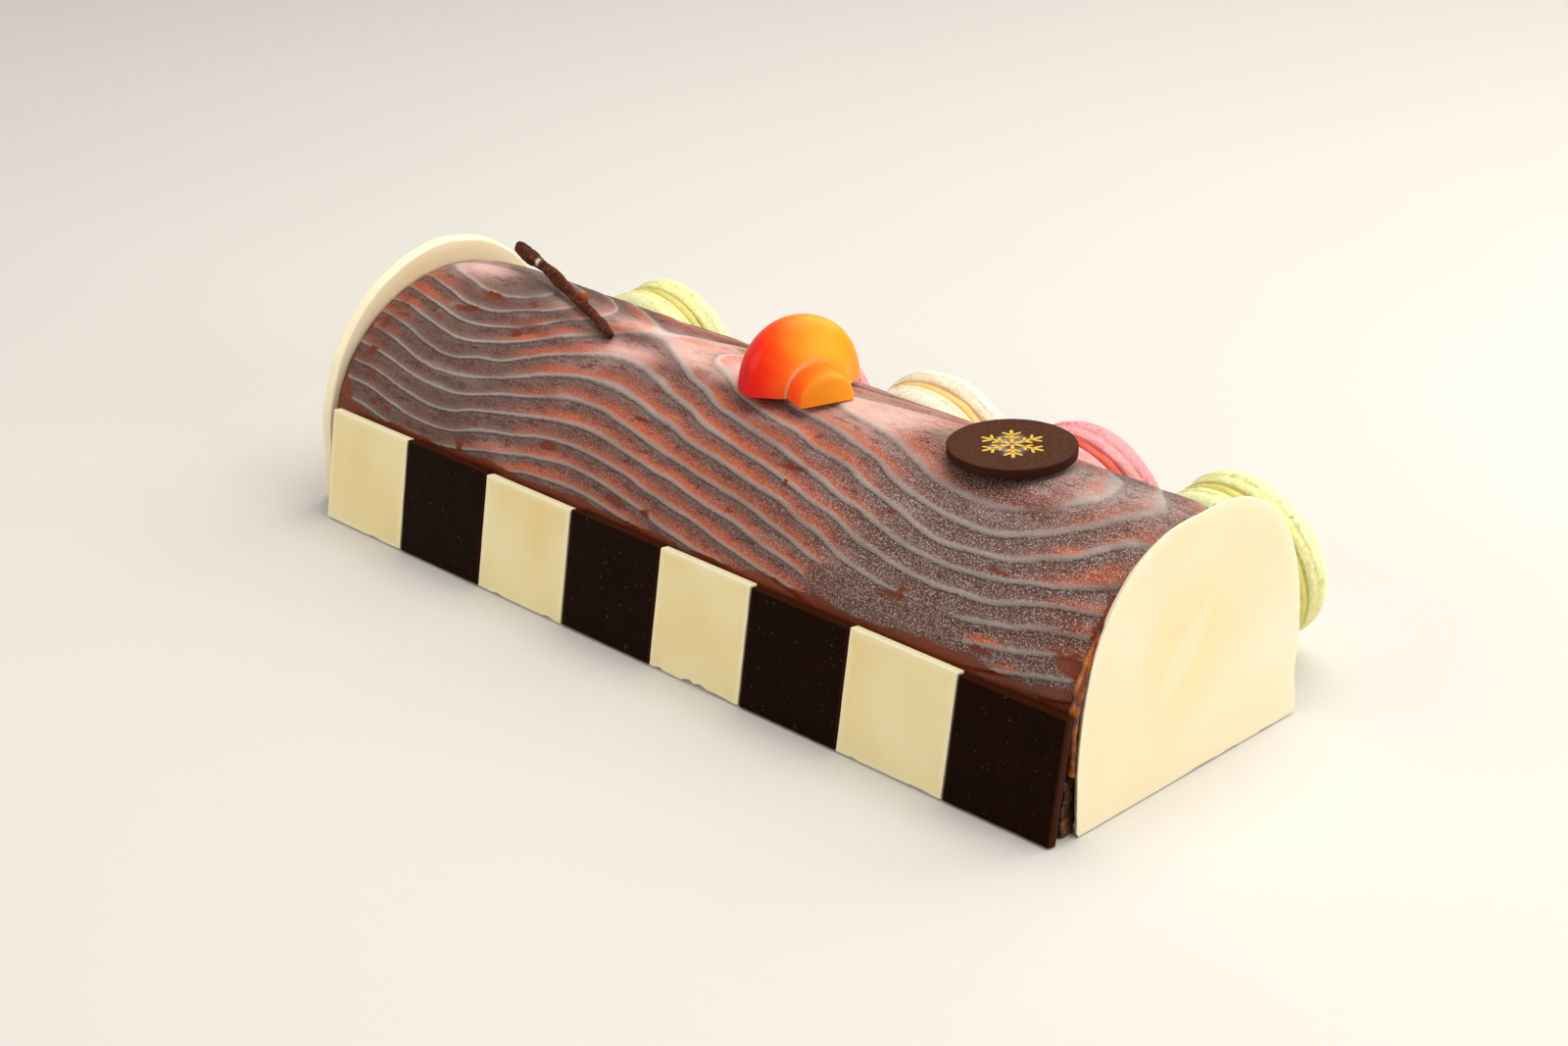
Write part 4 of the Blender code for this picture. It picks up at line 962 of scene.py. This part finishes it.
def build_square(index, finish):
    """One square, leaning back on the loaf; the white ones are wavier."""
    number = index + 1
    left, right = SQUARE_JOINTS[index], SQUARE_JOINTS[index + 1]
    height = SQUARE_HEIGHT + 0.25 * math.sin(index * 2.3)
    outline = square_outline(right - left - 0.35, height, 60 + 3 * index, SQUARE_CHIPS.get(number, ()))
    pts, faces, near = tablet(outline, SQUARE_THICK, 0.3, steps=12)
    wave = 0.24 if index % 2 == 0 else 0.07
    pts[:, 2] += wave * (1 - near ** 6) * soft_noise(pts + (0, 0, 40.0 * index), 13.0, 71) \
        - 0.5 * wave * (1 - near ** 6)
    # face forward: the sheet's face looks along -Y
    pts = np.column_stack([pts[:, 0], SQUARE_THICK / 2 - pts[:, 2], pts[:, 1]])
    lift = SQUARE_THICK * math.sin(math.radians(SQUARE_LEAN)) + 0.05
    tip = Euler((-math.radians(SQUARE_LEAN), 0.0, math.radians(SQUARE_TURNS[index])))
    spot = Matrix.Translation(((left + right) / 2, -SQUARE_FRONT, lift)) @ tip.to_matrix().to_4x4()
    name = "square_%d" % number
    piece(name + "_cut", moved(pts, spot), faces, finish, name, {"rim": near})


# macarons

def turned(profile, segments):
    """Points and faces of a profile (radius, height) turned about the upright axis."""
    angle = np.linspace(0, 2 * math.pi, segments, endpoint=False)
    r, a = np.meshgrid(profile[:, 0], angle, indexing="ij")
    h = np.repeat(profile[:, 1], segments)
    pts = np.column_stack([(r * np.cos(a)).ravel(), (r * np.sin(a)).ravel(), h])
    faces = quads(len(profile), segments, around=True).tolist()
    top, low = len(pts), len(pts) + 1
    pts = np.vstack([pts, [[0, 0, profile[0, 1]], [0, 0, profile[-1, 1]]]])
    last = (len(profile) - 1) * segments
    for i in range(segments):
        j = (i + 1) % segments
        faces.append([top, j, i])
        faces.append([low, last + i, last + j])
    return pts, faces


def shell_points(radius, seed):
    """One macaron shell: domed crown, straight side, frilled foot, open bubbles."""
    crown = ((0.06, 13.2), (0.46, 13.05), (0.73, 12.3), (0.89, 10.9), (0.968, 8.8), (0.998, 6.9),
             (0.996, 5.5), (0.988, 4.8), (0.990, 3.9), (0.988, 2.8), (0.972, 2.0))
    path = smooth_path(crown, 7)
    path = np.vstack([path, [(0.92, 1.8), (0.6, 1.8), (0.05, 1.8)]]) * (radius, 1.0)
    pts, faces = turned(path, SHELL_SEGMENTS)
    ring = np.hypot(pts[:, 0], pts[:, 1])
    height = pts[:, 2]
    out = np.column_stack([pts[:, 0], pts[:, 1], np.zeros(len(pts))]) / np.maximum(ring, 0.1)[:, None]
    frill = ramp(height, 1.9, 2.6) * (1 - ramp(height, 4.9, 5.8))
    frill = frill * ramp(ring, 0.9 * radius, 0.96 * radius)
    shift = np.column_stack([np.zeros(len(pts)), np.zeros(len(pts)), np.full(len(pts), 60.0 * seed)])
    bubble = 0.26 * soft_noise(pts + shift, 2.6, 81) + 0.22 * soft_noise(pts + shift, 1.1, 82)
    pts = pts + out * (frill * (bubble - 0.10))[:, None]
    dome = ramp(height, 5.2, 7.0)
    swell = 0.30 * soft_noise(pts + shift, 8.0, 83) + 0.08 * soft_noise(pts + shift, 2.0, 84)
    up = np.clip((height - 8.0) / 6.0, 0, 1)[:, None]
    pts = pts + (out * (1 - up) + np.array([0, 0, 1.0]) * up) * (dome * (swell - 0.12))[:, None]
    return pts, faces, height


def build_macaron(name, centre, lean, turn, radius, flavour, seed, finishes):
    """Two shells and the cream between them, standing on edge."""
    axis = Euler((math.radians(lean - 90.0), 0.0, math.radians(-turn)))
    spot = Matrix.Translation(Vector(centre)) @ axis.to_matrix().to_4x4()
    for side, label in ((1, "outer"), (-1, "inner")):
        pts, faces, height = shell_points(radius, seed + 0.37 * side)
        flip = Matrix.Rotation(math.pi, 4, "X") if side < 0 else Matrix.Identity(4)
        piece("%s_%s_shell" % (name, label), moved(pts, spot @ flip), faces, finishes[flavour],
              "%s_%s" % (name, label), {"height": height})
    edge = np.array([(0.05, 1.6), (0.6, 1.6), (0.92, 1.6), (0.955, 1.3), (0.965, 0.6), (0.966, 0.0),
                     (0.965, -0.6), (0.955, -1.3), (0.92, -1.6), (0.6, -1.6),
                     (0.05, -1.6)]) * (radius, 1.0)
    pts, faces = turned(edge, FILLING_SEGMENTS)
    ring = np.hypot(pts[:, 0], pts[:, 1])
    out = np.column_stack([pts[:, 0], pts[:, 1], np.zeros(len(pts))]) / np.maximum(ring, 0.1)[:, None]
    lump = ramp(ring, 0.88 * radius, 0.94 * radius) * 0.4 \
        * soft_noise(pts + (0, 0, 9.0 * seed), 4.0, 85)
    pts = pts + out * lump[:, None]
    piece(name + "_cream", moved(pts, spot), faces, finishes[flavour + "_filling"],
          name + "_filling")


# mushroom, disc and twig

def half_turned(profile, tall, segments=96):
    """The upper half of a turned shape lying on its side, flat underneath.
    The profile is (radius, distance along the stem)."""
    angle = np.linspace(0, math.pi, segments + 1)
    r, a = np.meshgrid(profile[:, 0], angle, indexing="ij")
    s = np.repeat(profile[:, 1], segments + 1)
    pts = np.column_stack([s, (r * np.cos(a)).ravel(), tall * (r * np.sin(a)).ravel()])
    faces = [f[::-1] for f in quads(len(profile), segments + 1).tolist()]
    # the flat side, strip by strip between the two cut edges
    n = segments + 1
    for i in range(len(profile) - 1):
        faces.append([i * n, (i + 1) * n, (i + 1) * n + segments, i * n + segments])
    return pts, faces


def mushroom_spot():
    """Where the mushroom lies."""
    return Matrix.Translation(CAP_CENTRE) @ Matrix.Rotation(math.radians(CAP_TURN), 4, "Z")


def build_mushroom(finish):
    """Half a cap and half a stem, with maps of the sprayed colour and the seam."""
    start = [(0.02, STEM_START - 0.2), (STEM_RADIUS * 0.6, STEM_START - 0.2)]
    lip = smooth_path([(STEM_RADIUS, STEM_START - 0.2), (10.4, 6.9), (13.0, 4.9), (15.2, 3.3),
                       (16.7, 1.8), (CAP_RADIUS, 0.0)], 6)
    t = np.radians(np.linspace(2, 89.6, 44))
    dome = np.column_stack([CAP_RADIUS * np.cos(t), -CAP_DEPTH * np.sin(t)])
    pts, faces = half_turned(np.vstack([start, lip, dome]), CAP_TALL)
    ring = np.hypot(pts[:, 1], pts[:, 2] / CAP_TALL)
    seam = np.exp(-((ring - STEM_RADIUS - 0.2) / 0.35) ** 2) * (pts[:, 0] > 5.0)
    seam *= 0.15 + 0.85 * ramp(-pts[:, 1], -3.0, 7.0)
    pts = moved(pts, mushroom_spot())
    across = 0.5 + 0.5 * ((pts[:, :2] - CAP_CENTRE[:2]) @ SPRAY_WAY) / 17.0
    across = across + 0.06 + 0.004 * (pts[:, 2] - 76.0) * np.clip(across, 0, 1)
    cap = piece("mushroom_cap_half", pts, faces, finish, "mushroom_cap",
                {"across": np.clip(across, 0, 1), "seam": seam})
    cap.data.set_sharp_from_angle(angle=math.radians(40))
    rim = smooth_path([(STEM_RADIUS, STEM_START + GAP), (STEM_RADIUS - 0.1, 10.5),
                       (STEM_RADIUS, 13.2), (STEM_RADIUS - 0.1, STEM_FACE - 1.3),
                       (STEM_RADIUS - 0.5, STEM_FACE - 0.4), (STEM_RADIUS - 1.5, STEM_FACE)], 6)
    stem = np.vstack([[(0.02, STEM_START + GAP)], rim, [(5.0, STEM_FACE), (0.02, STEM_FACE)]])
    pts, faces = half_turned(stem, 1.0, 72)
    faces = [f[::-1] for f in faces]
    along = pts[:, 0]
    pts = moved(pts, mushroom_spot())
    on_face = ramp(along, STEM_FACE - 1.2, STEM_FACE - 0.2)
    across = 0.57 + 0.14 * ((pts[:, :2] - (24.0, -6.0)) @ SPRAY_WAY) / 8.0
    across = across - 0.08 * (1 - on_face)
    stalk = piece("mushroom_stem_half", pts, faces, finish, "mushroom_stem",
                  {"across": np.clip(across, 0, 1), "seam": np.zeros(len(pts))})
    stalk.data.set_sharp_from_angle(angle=math.radians(40))


def disc_spot():
    """Where the disc lies, very slightly tipped."""
    tip = Euler((math.radians(0.6), math.radians(-0.6), 0.0))
    return Matrix.Translation(DISC_CENTRE) @ tip.to_matrix().to_4x4()


def build_disc(finish):
    """Thin round disc with a faintly uneven edge."""
    a = np.linspace(0, 2 * math.pi, 200, endpoint=False)
    r = DISC_RADIUS - 0.04 * (1 + np.sin(7 * a + 1.0) * np.sin(3 * a))
    outline = np.column_stack([r * np.cos(a), r * np.sin(a)])
    pts, faces, near = tablet(outline, DISC_THICK, 0.22, steps=14)
    piece("disc", moved(pts, disc_spot()), faces, finish, "medallion",
          {"rim": near})


def build_snowflake(finish):
    """A plain six-armed snowflake printed on the disc."""
    strokes = []
    for k in range(6):
        a = math.radians(60 * k + 12)
        d, n = np.array([math.cos(a), math.sin(a)]), np.array([-math.sin(a), math.cos(a)])
        strokes.append((d * 0.9, d * 8.6, 0.46))
        for at, reach in ((3.4, 1.7), (5.6, 2.2)):
            for side in (-1, 1):
                strokes.append((d * at, d * (at + reach * 0.75) + n * side * reach, 0.38))
    pts, faces = [], []
    top = DISC_THICK / 2
    for a, b, half in strokes:
        way = (b - a) / np.linalg.norm(b - a)
        out = np.array([-way[1], way[0]]) * half
        ring = [a + out, a - way * half * 0.6, a - out, b - out, b + way * half * 0.9, b + out]
        base = len(pts)
        pts += [(*q, top - 0.05) for q in ring] + [(*q, top + 0.07) for q in ring]
        faces.append([base + 6 + i for i in range(6)])
        faces += [[base + i, base + (i + 1) % 6, base + 6 + (i + 1) % 6, base + 6 + i]
                  for i in range(6)]
    piece("snowflake_print", moved(np.array(pts), disc_spot()), faces, finish,
          flat=True)


def build_twig(finish):
    """Bent stick with a swollen head, a side knot and bark ridges."""
    a, b, c = (np.array(p) for p in (TWIG_FOOT, TWIG_MID, TWIG_HEAD))
    rows, cols = 170, 28
    t = np.linspace(0, 1, rows)[:, None]
    mid = a * ((1 - t) * (1 - 2 * t)) + b * (4 * t * (1 - t)) + c * (t * (2 * t - 1))
    mid += np.array([0, 1, 0.3]) * (0.25 * np.sin(11 * t))
    way = np.gradient(mid, axis=0)
    way /= np.linalg.norm(way, axis=1, keepdims=True)
    side = np.cross(way, (0, 0, 1.0))
    side /= np.linalg.norm(side, axis=1, keepdims=True)
    up = np.cross(side, way)
    t = t[:, 0]
    radius = 1.35 + 0.75 * np.exp(-((t - 0.90) / 0.09) ** 2) \
        + 0.45 * np.exp(-((t - 0.60) / 0.16) ** 2) + 0.10 * np.sin(23 * t)
    radius = radius * np.sqrt(np.clip(np.minimum(t / 0.006, (1 - t) / 0.01), 0.05, 1))
    k, j = np.meshgrid(np.arange(rows), np.arange(cols), indexing="ij")
    k, j = k.ravel(), j.ravel()
    angle = 2 * math.pi * j / cols
    out = side[k] * np.cos(angle)[:, None] + up[k] * np.sin(angle)[:, None]
    spin = np.column_stack([t[k] * 9.0, np.cos(angle + 3 * t[k]) * 2.2, np.sin(angle + 3 * t[k]) * 2.2])
    bark = 0.22 * soft_noise(spin * (1.0, 1.6, 1.6), 1.0, 91)
    bark += 0.14 * soft_noise(mid[k] + out * radius[k][:, None], 1.2, 92)
    knots = np.zeros(len(k))
    rusty = np.exp(-((t[k] - 0.37) / 0.028) ** 2) * np.clip(out @ np.array([0.5, 0.8, 0.3]), 0, 1)
    chip = np.exp(-((t[k] - 0.79) / 0.010) ** 2) \
        * np.clip(out @ np.array([-0.2, -0.75, 0.6]), 0, 1) ** 4
    for at, reach, lean, grow in ((0.965, 0.030, (0.2, -0.4, 0.9), 1.3),
                                  (0.37, 0.030, (0.5, 0.8, 0.3), 1.7),
                                  (0.86, 0.02, (-0.3, -0.9, 0.1), 0.6)):
        lean = np.array(lean) / np.linalg.norm(lean)
        knots += grow * np.exp(-((t[k] - at) / reach) ** 2) * np.clip((out * lean).sum(1), 0, 1) ** 1.5
    pts = mid[k] + out * ((radius[k] + bark * np.minimum(radius[k], 1.0) + knots)[:, None])
    faces = quads(rows, cols, around=True).tolist()
    faces.append(list(range(cols))[::-1])
    faces.append([(rows - 1) * cols + i for i in range(cols)])
    faces = [f[::-1] for f in faces]
    piece("twig_stick", pts, faces, finish, "twig",
          {"knot": np.clip(1.2 * rusty, 0, 0.8), "chip": np.clip(1.6 * chip, 0, 1)})


# staging

def build_floor(finish):
    """Plain floor, eight metres across."""
    mesh = bpy.data.meshes.new("floor")
    mesh.from_pydata([(-4, -4, 0), (4, -4, 0), (4, 4, 0), (-4, 4, 0)], [], [(0, 1, 2, 3)])
    mesh.materials.append(finish)
    floor = bpy.data.objects.new("floor", mesh)
    bpy.context.scene.collection.objects.link(floor)


def soft_light(name, place, aim, size, power):
    """A square-cornered softbox aimed at a point."""
    light = bpy.data.lights.new(name, "AREA")
    light.shape = "RECTANGLE"
    light.size, light.size_y = size
    light.energy = power
    light.color = linear(LAMP_COLOUR)[:3]
    lamp = bpy.data.objects.new(name, light)
    lamp.location = place
    lamp.rotation_euler = (Vector(aim) - Vector(place)).to_track_quat("-Z", "Y").to_euler()
    bpy.context.scene.collection.objects.link(lamp)


def set_camera():
    """The photograph's viewpoint, from the right front and a little above."""
    data = bpy.data.cameras.new("camera")
    data.lens, data.sensor_width = 67.335, 36.0
    right = Vector((0.71478, 0.69933, -0.00591))
    down = Vector((0.28620, -0.30022, -0.90992))
    ahead = Vector((-0.63811, 0.64870, -0.41474))
    camera = bpy.data.objects.new("camera", data)
    turn = Matrix((right, -down, -ahead)).transposed().to_4x4()
    camera.matrix_world = Matrix.Translation((0.52268, -0.52689, 0.36103)) @ turn
    bpy.context.scene.collection.objects.link(camera)
    bpy.context.scene.camera = camera


def set_world():
    """Even, pale surroundings."""
    world = bpy.data.worlds.new("studio")
    world.use_nodes = True
    sky = world.node_tree.nodes["Background"]
    sky.inputs["Color"].default_value = linear("#f4f3f1")
    sky.inputs["Strength"].default_value = 0.42
    bpy.context.scene.world = world
    bpy.context.scene.view_settings.view_transform = "Standard"


def main():
    set_camera()
    set_world()
    build_floor(studio_floor())
    soft_light("overhead", (0.15, 0.25, 1.0), (0.0, 0.0, 0.03), (1.1, 0.8), 9.0)
    soft_light("front", (-0.35, -1.15, 0.55), (0.0, 0.0, 0.03), (0.9, 0.7), 4.8)
    soft_light("back", (0.25, 1.0, 0.75), (0.0, 0.0, 0.04), (0.9, 0.6), 5.0)
    soft_light("side", (1.1, 0.15, 0.45), (0.0, 0.0, 0.03), (0.7, 0.6), 3.9)

    build_loaf(sprayed_glaze())
    build_bead(run_glaze())
    build_biscuit(biscuit_crumb())

    # the fifth colour given to this white chocolate is its painted edge highlight
    plate = white_chocolate("white_chocolate_plate", 34, "#f8ebcd", "#f4e2b3", "#f9efd2",
                            PLATE_TINT_AND_HIGHLIGHT)
    build_plate("end_plate_left", plate_outline(*LEFT_PLATE, 101, LEFT_NIBBLES),
                LEFT_FOOT, LEFT_THICK, LEFT_LEAN, -1, LEFT_SLANT, plate)
    build_plate("end_plate_right", plate_outline(*RIGHT_PLATE, 111, RIGHT_NIBBLES),
                RIGHT_FOOT, RIGHT_THICK, RIGHT_LEAN, 1, RIGHT_SLANT, plate)
    # the fifth colour given to this white chocolate is its painted edge highlight
    pale = white_chocolate("white_chocolate_square", 26, "#f3e7ba", "#ecd38f", "#f4ecca")
    dark = dark_chocolate()
    for i in range(len(SQUARE_TURNS)):
        build_square(i, pale if i % 2 == 0 else dark)

    finishes = {
        "green": macaron_shell("green_shell", "#f6f6c4", "#f0f2ae", "#efeca6", "#bcc440"),
        "cream": macaron_shell("cream_shell", "#fbf3df", "#f8ead0", "#f5e2c2", "#e0bd88"),
        "pink": macaron_shell("pink_shell", "#f7a9ac", "#f2969b", "#f4a8aa", "#d23a44"),
        "green_filling": macaron_filling("green_filling", "#e0d680", "#c3bf55"),
        "cream_filling": macaron_filling("cream_filling", "#f3cf86", "#e6b45c"),
        "pink_filling": macaron_filling("pink_filling", "#e0563c", "#cc4430"),
    }
    for seed, (name, centre, lean, turn, radius, flavour) in enumerate(MACARONS):
        build_macaron(name, centre, lean, turn, radius, flavour, seed + 1, finishes)

    build_mushroom(sprayed_shell())
    build_disc(disc_chocolate())
    build_snowflake(gold_print())
    build_twig(twig_chocolate())


main()
